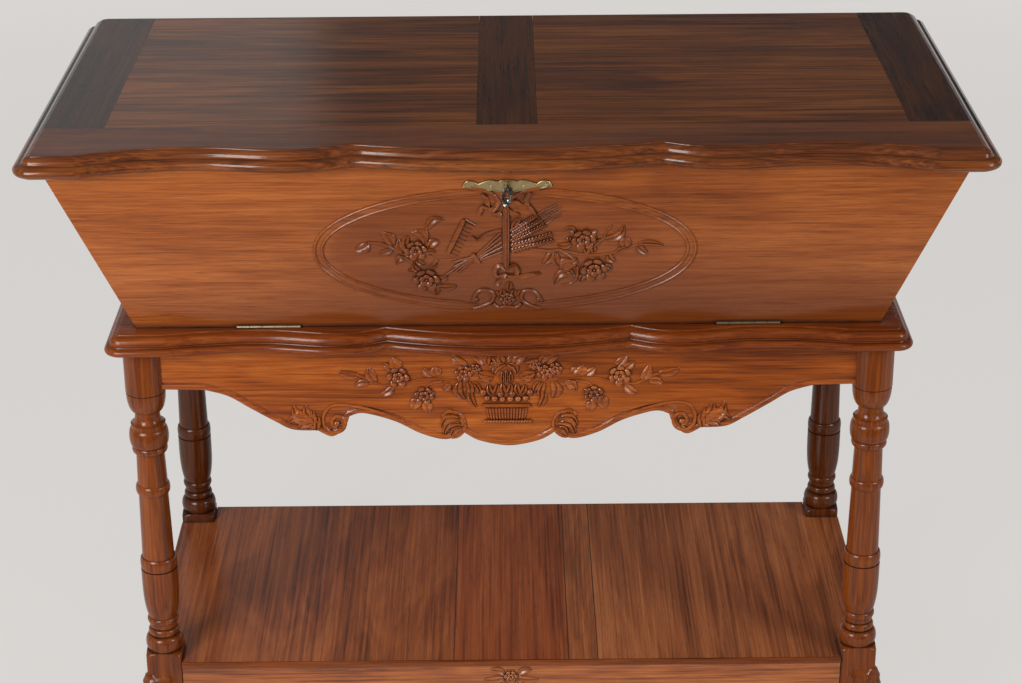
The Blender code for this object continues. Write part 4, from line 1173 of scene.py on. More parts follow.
@dataclass
class ApronCarving:
    """The front apron's carving: a flower basket, two rose branches, scroll leaves and volutes."""

    finish: WoodFinish
    base: Matrix
    branch: tuple = (
        ((-214.4, 645.5), (-199.4, 639.5), (-184.4, 631.0), (-175.4, 628.4), (-161.6, 629.9), (-141.8, 633.1),
         (-126.5, 637.2), (-105.2, 638.6), (-68.8, 634.9)),
        ((-93.1, 634.3), (-111.5, 629.5), (-118.5, 619.4)),
    )
    branch_leaves: tuple = leaves(
        (-208.3, 644.6, -239.9, 651.6, 11.2, 0.1), (-186.7, 632.7, -196.5, 657.9, 12.7, 0.1),
        (-195.8, 633.6, -217.3, 627.1, 10.5, -0.1), (-162.5, 627.4, -181.9, 613.3, 11.2, 0.15),
        (-160.3, 652.5, -176.6, 663.5, 9.7, 0.1), (-151.1, 654.9, -164.3, 671.7, 15.0, 0.1),
        (-107.4, 642.0, -120.8, 655.5, 10.5, 0.1), (-99.8, 641.9, -104.0, 657.8, 14.2, 0.05),
        (-124.9, 608.5, -136.0, 589.2, 14.2, -0.1), (-118.9, 603.4, -114.7, 583.9, 12.7, 0.1),
        (-111.8, 614.3, -104.1, 619.3, 9.0, 0.1), (-81.8, 630.9, -94.1, 620.9, 9.0, 0.1),
    )
    branch_flowers: tuple = (Flower((-155.2, 641.6), 14.2, 3.6), Flower((-119.4, 612.7), 12.7, 3.6))
    acanthus: tuple = leaves(
        (-273.4, 575.2, -304.4, 600.9, 13.5, 0.3, 3.6), (-273.4, 575.2, -286.9, 599.9, 10.5, 0.2, 3.4),
        (-270.6, 568.4, -275.8, 592.2, 9.0, 0.2, 3.2), (-270.1, 582.0, -273.3, 558.1, 9.0, 0.0, 3.6),
        (-275.1, 571.8, -315.1, 568.8, 12.0, -0.3, 3.6),
        (-275.2, 568.4, -300.1, 560.1, 10.5, -0.2, 3.4), (-273.7, 568.4, -286.3, 560.0, 9.0, -0.1, 3.2),
    )
    scroll: tuple = leaves(
        (-71.5, 579.5, -95.0, 574.5, 9.5, -0.30, 3.6), (-68.0, 574.5, -96.5, 560.5, 9.5, -0.34, 3.8),
        (-66.5, 568.5, -92.5, 549.0, 9.5, -0.32, 3.8), (-67.0, 561.5, -82.5, 547.5, 8.5, -0.22, 3.6),
    )
    rim: tuple = (
        (-94.5, 580.5), (-90.0, 585.0), (-82.5, 587.0), (-72.0, 584.5), (-64.6, 576.5), (-62.0, 565.5),
        (-65.6, 554.5), (-73.5, 547.5), (-82.0, 545.8),
    )
    volute: tuple = (
        (-148.0, 571.6), (-163.4, 578.2), (-180.2, 585.5), (-203.8, 593.2), (-224.0, 597.9), (-242.5, 599.0),
        (-256.0, 592.5), (-262.7, 578.5), (-260.3, 564.2), (-249.2, 555.5), (-236.6, 559.6), (-231.6, 570.8),
        (-236.8, 579.7), (-244.9, 580.5), (-250.2, 573.9), (-248.9, 566.0), (-243.0, 564.8),
    )
    bouquet: tuple = leaves(
        (-58.0, 655.5, -79.5, 675.0, 13.5, 0.1, 3.4), (-33.0, 659.0, -50.5, 674.0, 12.0, -0.1, 3.4),
        (-30.0, 660.0, -27.5, 676.0, 10.0, 0.1, 3.4), (-17.0, 655.0, -24.0, 672.0, 10.5, -0.2, 3.4),
        (-8.0, 661.0, -13.0, 675.5, 11.0, 0.1, 3.2), (2.0, 661.0, 4.5, 676.0, 12.5, -0.1, 3.2),
        (6.0, 657.0, 25.5, 674.5, 13.0, 0.12, 3.6), (22.0, 661.0, 45.0, 669.0, 10.5, -0.2, 3.4),
        (44.0, 661.0, 56.0, 675.5, 10.0, 0.1, 3.4), (52.0, 660.0, 71.5, 674.0, 10.5, 0.1, 3.4),
        (-20.5, 641.5, -43.5, 647.5, 12.5, 0.1, 4.0), (-25.0, 633.0, -43.0, 637.5, 9.5, -0.2, 3.6),
        (14.5, 641.5, 38.0, 648.0, 12.5, -0.1, 4.0), (20.0, 633.0, 37.5, 638.0, 9.5, 0.2, 3.6),
        (-3.4, 661.0, -21.5, 642.5, 9.5, -0.25, 4.0), (-2.6, 661.0, 10.5, 643.5, 9.5, 0.25, 4.0),
        (-9.0, 631.0, -9.5, 650.0, 5.0, 0.0, 3.6), (-3.2, 630.0, -3.2, 652.0, 5.0, 0.0, 3.8),
        (2.6, 631.0, 3.0, 650.0, 5.0, 0.0, 3.6), (-68.0, 636.0, -60.5, 605.0, 12.0, -0.25, 3.8),
        (-58.0, 634.0, -54.0, 611.0, 9.0, 0.1, 3.6), (-54.5, 628.0, -45.0, 592.0, 9.0, -0.12, 3.6),
        (-51.0, 634.0, -40.0, 612.0, 7.0, 0.1, 3.4), (60.5, 634.0, 59.5, 605.0, 13.5, 0.25, 3.8),
        (50.0, 632.0, 44.0, 606.0, 9.5, -0.1, 3.6), (50.0, 616.0, 40.5, 592.5, 8.5, 0.1, 3.6),
        (44.0, 634.0, 34.5, 614.0, 7.0, -0.1, 3.4), (-23.5, 613.0, -28.5, 629.0, 8.5, 0.1, 4.2),
        (-21.0, 614.0, -16.5, 630.5, 8.5, -0.1, 4.2), (-5.5, 614.0, -9.0, 631.5, 8.5, 0.1, 4.4),
        (-3.0, 614.0, 2.5, 631.5, 8.5, -0.1, 4.4), (14.0, 614.0, 11.5, 630.5, 8.5, 0.1, 4.2),
        (16.0, 613.0, 22.5, 629.0, 8.5, -0.1, 4.2), (-81.9, 629.2, -93.3, 621.0, 9.9, 0.1),
        (78.5, 633.2, 94.9, 616.4, 11.1, 0.15), (88.5, 644.1, 99.5, 653.7, 11.1, 0.1),
    )
    blooms: tuple = (
        Flower((-64.0, 646.5), 11.0, 3.4), Flower((-47.5, 653.0), 7.5, 3.2), Flower((50.5, 647.5), 10.5, 3.4),
        Flower((65.0, 652.5), 9.0, 3.2), Flower((36.7, 659.5), 7.5, 3.2), Flower((-20.1, 658.0), 6.5, 3.4),
    )
    fruits: tuple = (
        (-36.5, 616.5, 5.6), (-31.0, 608.0, 5.0), (-20.5, 607.0, 5.4), (-12.5, 614.0, 5.2),
        (-9.5, 606.0, 5.0), (1.5, 606.5, 5.4), (4.5, 614.5, 5.2), (12.5, 606.5, 5.2),
        (23.0, 607.5, 5.2), (29.0, 616.0, 5.6),
    )
    stem_widths: tuple = ((2.2, 3.2), (2.6, 1.9))
    eyes: tuple = ((0.2440, 0.5696, 0.0050, 0.0042), (0.2975, 0.5856, 0.0060, 0.0045))
    bold: float = 1.32
    scroll_bold: float = 1.12
    basket_middle: float = -3.4
    basket_half: Pair = (27.2, 3.6)
    basket_foot: float = 574.0
    basket_height: float = 20.5
    basket_mesh: tuple[int, int] = (112, 8)
    basket_rim: tuple = ((-37.1, 597.0), (-3.6, 596.6), (29.5, 596.4))
    flutes: int = 14
    flute_rise: Pair = (2.4, 1.9)
    cords: int = 17
    cord_start: tuple = (-33.8, 571.9, 2.2)
    cord_length: float = 63.4
    cord_size: tuple = (0.0031, 0.0018, 0.0024)
    cord_turn: float = 0.7
    fruit_rise: float = 0.0052

    def basket(self, form: Relief) -> None:
        """Carve the fluted basket with its rim and corded foot."""

        def place(u: float, v: float) -> Vector:
            """Return the place of a share across and up the basket."""
            side = 2 * u - 1
            half = self.basket_half[0] + self.basket_half[1] * v
            flute = abs(math.sin(self.flutes * math.pi * u)) ** 0.8
            rounding = math.sqrt(max(1 - side ** 6, 0.0))
            height = (self.flute_rise[0] + self.flute_rise[1] * flute) * rounding + 0.6 * v
            x, z = self.basket_middle + half * side, self.basket_foot + self.basket_height * v
            return Vector((x * MM, z * MM, (0.0 if on_rim(u, v) else height) * MM - SINK))

        form.sheet(*self.basket_mesh, place)
        form.stem(self.basket_rim, 2.6, 2.6, 0.0022)
        for share in shares(self.cords - 1):
            spot = (Vector(self.cord_start) + Vector((self.cord_length * share, 0, 0))) * MM
            turn = Matrix.Translation(spot) @ Matrix.Rotation(self.cord_turn, 4, "Z")
            form.seed(turn @ Matrix.Diagonal((*self.cord_size, 1)), 2)

    @staticmethod
    def sided(side: int, drawn: Sequence) -> list:
        """Return leaves, flowers or lines as drawn for the left, or mirrored for the right."""
        if side < 0:
            return list(drawn)
        return [mirrored_line(item) if isinstance(item, tuple) else item.mirrored() for item in drawn]

    def build(self) -> None:
        """Make the carving, each side's branch and scrolls a piece of its own."""
        wood = self.finish.material(Grain.ALONG_X, 11.0)
        middle = Relief(self.base, self.bold)
        self.basket(middle)
        middle.garland((), self.bouquet, self.blooms, 1.4)
        for x, z, radius in self.fruits:
            middle.knob((x * MM, z * MM), radius * MM, self.fruit_rise)
        middle.finish("apron_flower_basket", Body.TABLE, self.finish.slot, wood)
        for side, word in SIDES:
            branch = Relief(self.base, self.bold)
            drawn = (self.branch, self.branch_leaves, self.branch_flowers)
            branch.garland(*(self.sided(side, table) for table in drawn), 2.4)
            branch.finish(f"apron_rose_branch_{word}", Body.TABLE, self.finish.slot, wood)
            scroll = Relief(self.base, self.bold * self.scroll_bold)
            for leaf in self.sided(side, self.acanthus + self.scroll):
                scroll.leaf(leaf)
            lines = self.sided(side, (self.volute, self.rim))
            for line, widths, (x, z, *size) in zip(lines, self.stem_widths, self.eyes):
                scroll.stem(line, *widths)
                scroll.knob((side * x, z), *size)
            scroll.finish(f"apron_scrolls_{word}", Body.TABLE, self.finish.slot, wood)


@dataclass
class LowerCarving:
    """The lower front apron's small rose between two sprays of leaves."""

    finish: WoodFinish
    base: Matrix
    bold: float = 1.15
    rose: Flower = Flower((-1.0, 158.0), 9.5, 4.2)
    sprig: tuple = leaves(
        (9.0, 160.0, 32.0, 169.0, 11.0, 0.12, 3.6), (9.0, 155.0, 42.0, 153.0, 12.0, -0.10, 3.8),
        (7.0, 151.0, 24.0, 136.0, 11.0, -0.12, 3.4),
    )

    def build(self) -> None:
        """Make the carving."""
        form = Relief(self.base, self.bold)
        for leaf in self.sprig:
            form.leaf(leaf)
            form.leaf(leaf.mirrored())
        form.flower(self.rose)
        wood = self.finish.material(Grain.ALONG_X, 70.0)
        form.finish("lower_apron_rose", Body.TABLE, self.finish.slot, wood)


@dataclass
class FallFrontCarving:
    """The fall front's carving: an oval round a wheat sheaf, rake and pole with two rose branches."""

    finish: WoodFinish
    base: Matrix
    bold: float = 1.5
    oval_centre: Pair = (-3.7, 122.9)
    oval_half: Pair = (253.5, 92.0)
    oval_section: tuple = (
        (-7.2, -0.6), (-6.8, 0.8), (-6.1, 2.1), (-5.2, 2.6), (-4.3, 2.2), (-3.5, 1.1), (-2.8, 0.2),
        (0.0, 0.1), (2.8, 0.2), (3.5, 1.1), (4.3, 2.2), (5.2, 2.6), (6.1, 2.1), (6.8, 0.8), (7.2, -0.6),
    )
    left_stems: tuple = (
        ((-189.8, 136.0), (-171.7, 134.3), (-159.8, 128.5), (-149.2, 121.2), (-136.0, 115.4), (-125.2, 112.4),
         (-109.3, 115.1), (-94.9, 108.5), (-70.6, 108.9)),
        ((-108.3, 130.9), (-112.1, 146.6), (-106.9, 162.1), (-95.9, 170.5)),
        ((-109.3, 115.1), (-108.3, 130.9)),
        ((-94.9, 108.5), (-102.4, 100.6), (-109.4, 89.1)),
    )
    left_leaves: tuple = leaves(
        (-187.4, 134.5, -207.3, 123.2, 12.3, 0.1), (-156.1, 129.9, -170.4, 152.8, 11.7, -0.15),
        (-156.3, 125.6, -175.3, 120.1, 7.4, 0.1), (-139.6, 118.3, -147.9, 141.2, 11.7, 0.1),
        (-111.3, 133.7, -130.6, 153.2, 12.3, -0.3), (-108.9, 156.5, -83.2, 172.5, 9.2, 0.25),
        (-107.2, 128.0, -91.8, 138.5, 11.1, 0.15), (-135.0, 108.9, -152.3, 99.6, 8.6, -0.35),
        (-95.7, 103.4, -112.9, 94.2, 4.9, 0.1), (-106.9, 67.2, -98.2, 49.5, 10.5, 0.15),
        (-97.2, 64.9, -69.0, 66.1, 8.0, -0.1), (-123.4, 90.7, -137.4, 92.3, 5.5, 0.1),
        (-141.5, 113.5, -127.5, 101.0, 7.5, 0.2), (-124.0, 111.0, -111.0, 100.5, 7.0, -0.2),
        (-116.0, 117.5, -96.5, 119.5, 6.5, 0.2), (-138.5, 130.5, -134.5, 147.5, 8.0, 0.1),
        (-120.0, 88.0, -129.0, 103.5, 7.5, 0.15), (-97.5, 77.5, -82.0, 84.0, 6.5, -0.2),
    )
    left_flowers: tuple = (Flower((-124.9, 123.9), 13.6, 3.4), Flower((-111.6, 76.0), 16.0, 3.6))
    right_stems: tuple = (
        ((29.9, 124.3), (55.9, 120.9), (70.2, 122.3), (84.5, 118.3), (108.0, 114.2), (127.5, 114.0),
         (146.9, 117.7), (167.5, 126.0), (179.1, 129.7), (210.3, 127.8)),
        ((70.2, 122.3), (85.9, 109.8), (97.8, 94.2)),
        ((102.6, 125.1), (106.6, 114.3)),
        ((106.6, 114.3), (114.3, 126.5), (128.4, 138.6), (133.3, 150.7), (140.9, 160.5)),
        ((95.1, 95.8), (94.0, 78.7), (86.2, 67.8), (73.1, 65.6)),
    )
    right_leaves: tuple = leaves(
        (128.3, 140.1, 157.0, 163.4, 9.9, -0.3), (114.2, 132.6, 121.7, 154.7, 11.9, 0.3),
        (113.0, 125.7, 129.0, 138.6, 5.9, 0.1), (158.4, 126.0, 159.3, 143.6, 12.5),
        (145.6, 116.9, 168.1, 126.7, 5.3, 0.1), (176.5, 128.2, 190.5, 114.2, 8.6, -0.1),
        (175.2, 131.2, 212.9, 127.3, 5.3, 0.1), (135.9, 114.7, 146.6, 101.5, 9.2, -0.15),
        (60.5, 120.1, 47.5, 98.6, 10.6, 0.1), (63.1, 117.8, 69.7, 96.1, 10.6, -0.1),
        (92.5, 102.0, 74.3, 85.1, 15.8, -0.3), (94.0, 80.3, 62.6, 64.9, 10.6, -0.35),
        (84.4, 136.0, 81.1, 143.6, 5.3), (88.0, 134.0, 66.0, 132.0, 7.5, 0.2),
        (92.0, 148.0, 75.5, 156.0, 8.0, -0.2), (113.0, 129.0, 116.5, 117.0, 6.5, 0.1),
        (94.0, 109.5, 81.5, 101.5, 7.0, 0.2), (78.0, 90.0, 88.0, 78.5, 7.0, 0.2),
        (107.5, 82.0, 98.5, 69.5, 7.5, -0.2), (131.0, 97.0, 141.5, 89.5, 7.0, 0.15),
    )
    right_flowers: tuple = (Flower((102.5, 138.9), 14.5, 3.6), Flower((117.4, 90.9), 15.8, 3.6))
    ears: tuple = (
        ((4.7, 151.8), (39.0, 177.9), (68.5, 196.4)), ((4.7, 144.2), (45.4, 171.1), (73.0, 191.1)),
        ((4.6, 136.5), (49.9, 162.7), (72.4, 180.6)), ((4.6, 128.9), (58.4, 148.2), (61.0, 149.0)),
        ((4.6, 122.0), (60.3, 138.3), (63.0, 139.0)),
    )
    stalks: tuple = (
        ((-43.6, 113.2), (-8.8, 151.2)), ((-42.3, 112.4), (-8.3, 143.5)), ((-41.1, 110.8), (-7.7, 135.9)),
        ((-40.4, 108.5), (-7.1, 128.2)), ((-39.8, 106.2), (-6.5, 120.5)), ((-45.6, 113.2), (-75.7, 103.5)),
        ((-46.9, 112.5), (-73.2, 96.5)), ((-47.6, 110.1), (-70.7, 90.2)), ((-47.0, 107.8), (-68.2, 86.8)),
        ((-53.5, 108.7), (-84.6, 83.8)),
    )
    ribbons: tuple = (
        ((-11.0, 199.5), (-18.8, 189.0), (-26.5, 189.1), (-34.2, 190.7), (-39.5, 178.7)),
        ((-13.5, 199.5), (-14.9, 190.5), (-20.1, 186.0)), ((-8.6, 182.9), (-18.9, 178.5)),
        ((-33.9, 211.6), (-27.6, 202.6), (-26.5, 190.6)),
        ((3.1, 199.3), (12.1, 199.2), (18.5, 192.4), (28.7, 191.6), (37.7, 178.0)),
        ((30.0, 214.0), (25.5, 203.6), (27.4, 193.1)), ((-0.8, 188.9), (6.8, 181.3), (15.8, 178.9)),
        ((-4.2, 81.8), (-9.5, 77.1), (-16.8, 67.0)), ((-1.6, 81.7), (14.1, 80.0), (28.5, 82.2), (44.2, 84.4)),
    )
    knots: tuple = (
        ((-2.8, 92.7), (-11.9, 99.0), (-18.5, 89.7), (-14.7, 80.3), (-2.9, 84.9)),
        ((-2.8, 91.1), (7.7, 98.8), (12.8, 89.4), (7.6, 80.1), (-2.9, 83.3)),
    )
    scrolls: tuple = (
        ((-47.8, 220.7), (-30.0, 216.8), (-18.6, 210.0), (-10.4, 198.0)),
        ((42.8, 219.8), (24.9, 216.3), (10.8, 208.9), (1.8, 197.1)),
        ((-48.0, 39.8), (-45.2, 50.8), (-37.2, 57.8), (-25.4, 56.9), (-20.2, 49.0), (-23.0, 39.5),
         (-32.3, 33.3), (-48.0, 27.8)),
        ((45.6, 40.4), (39.0, 51.5), (31.1, 57.1), (21.9, 55.6), (17.9, 48.6), (20.5, 39.1), (29.7, 32.6),
         (45.0, 27.2)),
        ((-21.0, 36.3), (-13.8, 29.1), (-1.9, 31.1), (9.9, 28.9), (17.9, 35.9)),
    )
    shell: tuple = leaves(
        (6.7, 152.5, 19.0, 175.1, 7.9, 0.1), (-15.0, 46.5, -18.8, 57.6, 7.9),
        (-7.1, 46.8, -8.3, 59.9, 7.9), (6.1, 46.7, 8.8, 59.7, 7.9), (14.0, 47.2, 19.3, 58.0, 7.9),
        (0.9, 57.8, 2.3, 72.3, 7.9),
    )
    shell_flower: Flower = Flower((-1.2, 44.1), 9.0, 3.6, 6)
    scroll_knobs: Pair = (-0.0445, 0.0420)
    arcs: tuple = ((97.0, 264.0, "left"), (-84.0, 83.0, "right"))
    arc_steps: int = 96
    arc_tail: float = 0.05
    pole: tuple = ((-2.1, 191.9), (-2.3, 170.0), (-2.5, 140.0), (-2.8, 92.7))
    pole_ridge: tuple = ((-2.1, 190.0), (-2.8, 94.0))
    rake: tuple = ((-58.9, 172.1), (-70.4, 145.5), (-81.9, 119.0))
    rake_end: tuple = ((-57.3, 172.6), (-43.3, 162.9))
    teeth: int = 9
    tooth_root: Pair = (-57.6, 166.2)
    tooth_step: Pair = (-2.82, -6.02)
    tooth: Pair = (12.0, -4.9)
    rake_tie: tuple = ((-49.0, 144.7), (-40.7, 138.5), (-26.9, 149.0), (-8.8, 155.4))
    sheaf_tie: tuple = ((-48.0, 117.5), (-43.6, 109.0), (-40.0, 102.0))

    def oval(self) -> None:
        """Carve the oval's two arcs, which thin out where they meet the scrolls."""
        wood = self.finish.material(Grain.ALONG_X, 12.0)
        centre, half = Vector(self.oval_centre), Vector(self.oval_half)
        for start, stop, word in self.arcs:
            rings = []
            for share in shares(self.arc_steps):
                angle = math.radians(start + (stop - start) * share)
                c, s = math.cos(angle), math.sin(angle)
                out = Vector((c / half.x, s / half.y)).normalized()
                taper = min(1.0, 0.3 + 0.7 * min(share, 1 - share) / self.arc_tail)
                ring = []
                for offset, height in self.oval_section:
                    spot = centre + Vector((half.x * c, half.y * s)) + out * offset * taper
                    ring.append(Vector((spot.x, spot.y, height * taper)) * MM)
                rings.append(ring)
            form = Relief(self.base)
            form.loft(rings)
            form.finish(f"front_oval_{word}", Body.FALL_FRONT, self.finish.slot, wood)

    def tools(self) -> None:
        """Carve the pole, the rake and the wheat sheaf."""
        form = Relief(self.base)
        form.ribbon(self.pole, 9.6, 4.2, 0.0)
        form.stem(self.pole_ridge, 1.5, 1.5, 0.0028, 4)
        form.ribbon(self.rake, 6.4, 4.4, 0.0)
        form.stem(self.rake_end, 1.5, 1.3, 0.001)
        for number in range(self.teeth):
            root = Vector(self.tooth_root) + Vector(self.tooth_step) * number
            form.stem((tuple(root), tuple(root + Vector(self.tooth))), 1.25, 0.8, 0.0006, 2)
        form.ribbon(self.rake_tie, 5.6, 3.2, 0.5)
        for line in self.stalks:
            form.stem(line, 1.7, 1.5, 0.0008, 2)
        form.ribbon(self.sheaf_tie, 8.0, 4.6, 0.0)
        for base, tip, awn in self.ears:
            form.ear(base, tip, awn)
        wood = self.finish.material(Grain.ALONG_X, 13.0)
        form.finish("front_wheat_sheaf", Body.FALL_FRONT, self.finish.slot, wood)

    def ornaments(self) -> None:
        """Carve the ribbons, their knot, and the shell between two scrolls at the oval's foot."""
        form = Relief(self.base, self.bold)
        for line in self.ribbons:
            form.ribbon(line, 6.8, 4.0, 1.2)
        for line in self.knots:
            form.ribbon(line, 6.0, 4.4, 0.5)
        for line in self.scrolls:
            form.stem(line, 2.8, 2.5, 0.0006)
        for leaf in self.shell:
            form.leaf(leaf)
        form.flower(self.shell_flower)
        for x in self.scroll_knobs:
            form.knob((x, 0.0425), 0.0042, 0.0036)
        wood = self.finish.material(Grain.ALONG_X, 13.0)
        form.finish("front_ribbons", Body.FALL_FRONT, self.finish.slot, wood)

    def build(self) -> None:
        """Make all the carving of the fall front."""
        self.oval()
        self.tools()
        self.ornaments()
        wood = self.finish.material(Grain.ALONG_X, 13.0)
        sides = (
            ("left", self.left_stems, self.left_leaves, self.left_flowers),
            ("right", self.right_stems, self.right_leaves, self.right_flowers),
        )
        for word, *drawn in sides:
            form = Relief(self.base, self.bold)
            form.garland(*drawn, 2.6)
            form.finish(f"front_rose_branch_{word}", Body.FALL_FRONT, self.finish.slot, wood)


@dataclass
class Ironwork:
    """The escutcheon's raised rim and the key with its twisted bow."""

    base: Matrix
    brass: MetalFinish
    steel: MetalFinish
    keyhole: float = 0.22336
    half_width: float = 60.5
    rise: float = 10.2
    rivets: tuple = ((21.5, 1.0), (51.8, 2.2))
    edge: Pair = (0.985, 0.94)
    rivet: Pair = (0.0018, 0.0030)
    bow: Pair = (0.0056, 0.0205)
    bow_centre: float = 0.0262
    bow_turn: float = 35.0
    wire: float = 0.0021
    twists: int = 7
    twist_steps: int = 96
    wire_sides: int = 8
    shank: tuple = (
        (0.0, -0.0205), (0.0018, -0.0200), (0.0020, -0.0190), (0.0020, 0.0034), (0.0031, 0.0040),
        (0.0034, 0.0050), (0.0031, 0.0060), (0.0023, 0.0066), (0.0023, 0.0074), (0.0029, 0.0082),
        (0.0023, 0.0092), (0.0, 0.0096),
    )
    bit_centre: tuple = (0.0043, 0, -0.0135)
    bit_size: tuple = (0.0066, 0.0019, 0.0064)
    top: tuple = (
        ((0, 1), (0.13, 0.93), (0.21, 0.75), (0.36, 0.94), (0.53, 0.66), (0.66, 0.30)),
        ((0.66, 0.30), (0.76, 0.74), (0.87, 0.84), (0.94, 0.58), (1, -0.06)),
    )
    bottom: tuple = (
        ((1, -0.06), (0.91, 0.05), (0.81, -0.25), (0.66, -0.44), (0.49, -0.66)),
        ((0.49, -0.66), (0.33, -0.58), (0.165, -0.84), (0, -0.91)),
    )

    def rim(self) -> None:
        """Work a fine raised rim along the escutcheon's edge, and set its rivets."""
        form = Relief(self.base)
        half = runs_through(self.top, 4) + runs_through(self.bottom, 4)[1:]
        wide, high = self.half_width * self.edge[0], self.rise * self.edge[1]
        for side, _ in SIDES:
            line = [(side * p.x * wide, self.keyhole / MM + p.y * high) for p in half]
            form.stem(line, 1.0, 1.0, 0.0014, 1)
            for x, up in self.rivets:
                form.knob((side * x * MM, self.keyhole + up * MM), *self.rivet)
        form.finish("escutcheon_rim", Body.FALL_FRONT, self.brass.slot, self.brass.material())

    def strand(self, phase: float) -> list[list[Vector]]:
        """Return the rings of one of the bow's twisted wires."""
        turn = Matrix.Rotation(math.radians(self.bow_turn), 3, "Z")
        wide, high = self.bow
        rings = []
        for share in shares(self.twist_steps):
            around = TURN * share
            c, s = math.cos(around), math.sin(around)
            twist = self.twists * around + phase
            along = Vector((wide * c, 0, high * s)).normalized()
            out = Vector((along.z, 0, -along.x))
            offset = out * math.cos(twist) + Vector((0, math.sin(twist), 0))
            spine = Vector((wide * s, 0, self.bow_centre - high * c)) + offset * self.wire * 0.85
            side = along.cross(offset).normalized()
            ring = []
            for facet in range(self.wire_sides):
                angle = TURN * facet / self.wire_sides
                skin = offset * math.cos(angle) + side * math.sin(angle)
                ring.append(turn @ (spine + skin * self.wire))
            rings.append(ring)
        return rings

    def key(self) -> None:
        """Make the key: shank, bit, collars and a bow of two twisted wires."""
        form = Form(self.base @ Matrix.Translation((0, self.keyhole, 0)))
        form.turned(self.shank, 20)
        bit = Matrix.Translation(self.bit_centre) @ Matrix.Diagonal((*self.bit_size, 1))
        bmesh.ops.create_cube(form.bm, size=1, matrix=bit)
        for phase in (0.0, math.pi):
            form.loft(self.strand(phase))
        form.finish("key_twisted_bow", Body.KEY, self.steel.slot, self.steel.material(), ("key",))

    def build(self) -> None:
        """Make the rim and the key."""
        self.rim()
        self.key()


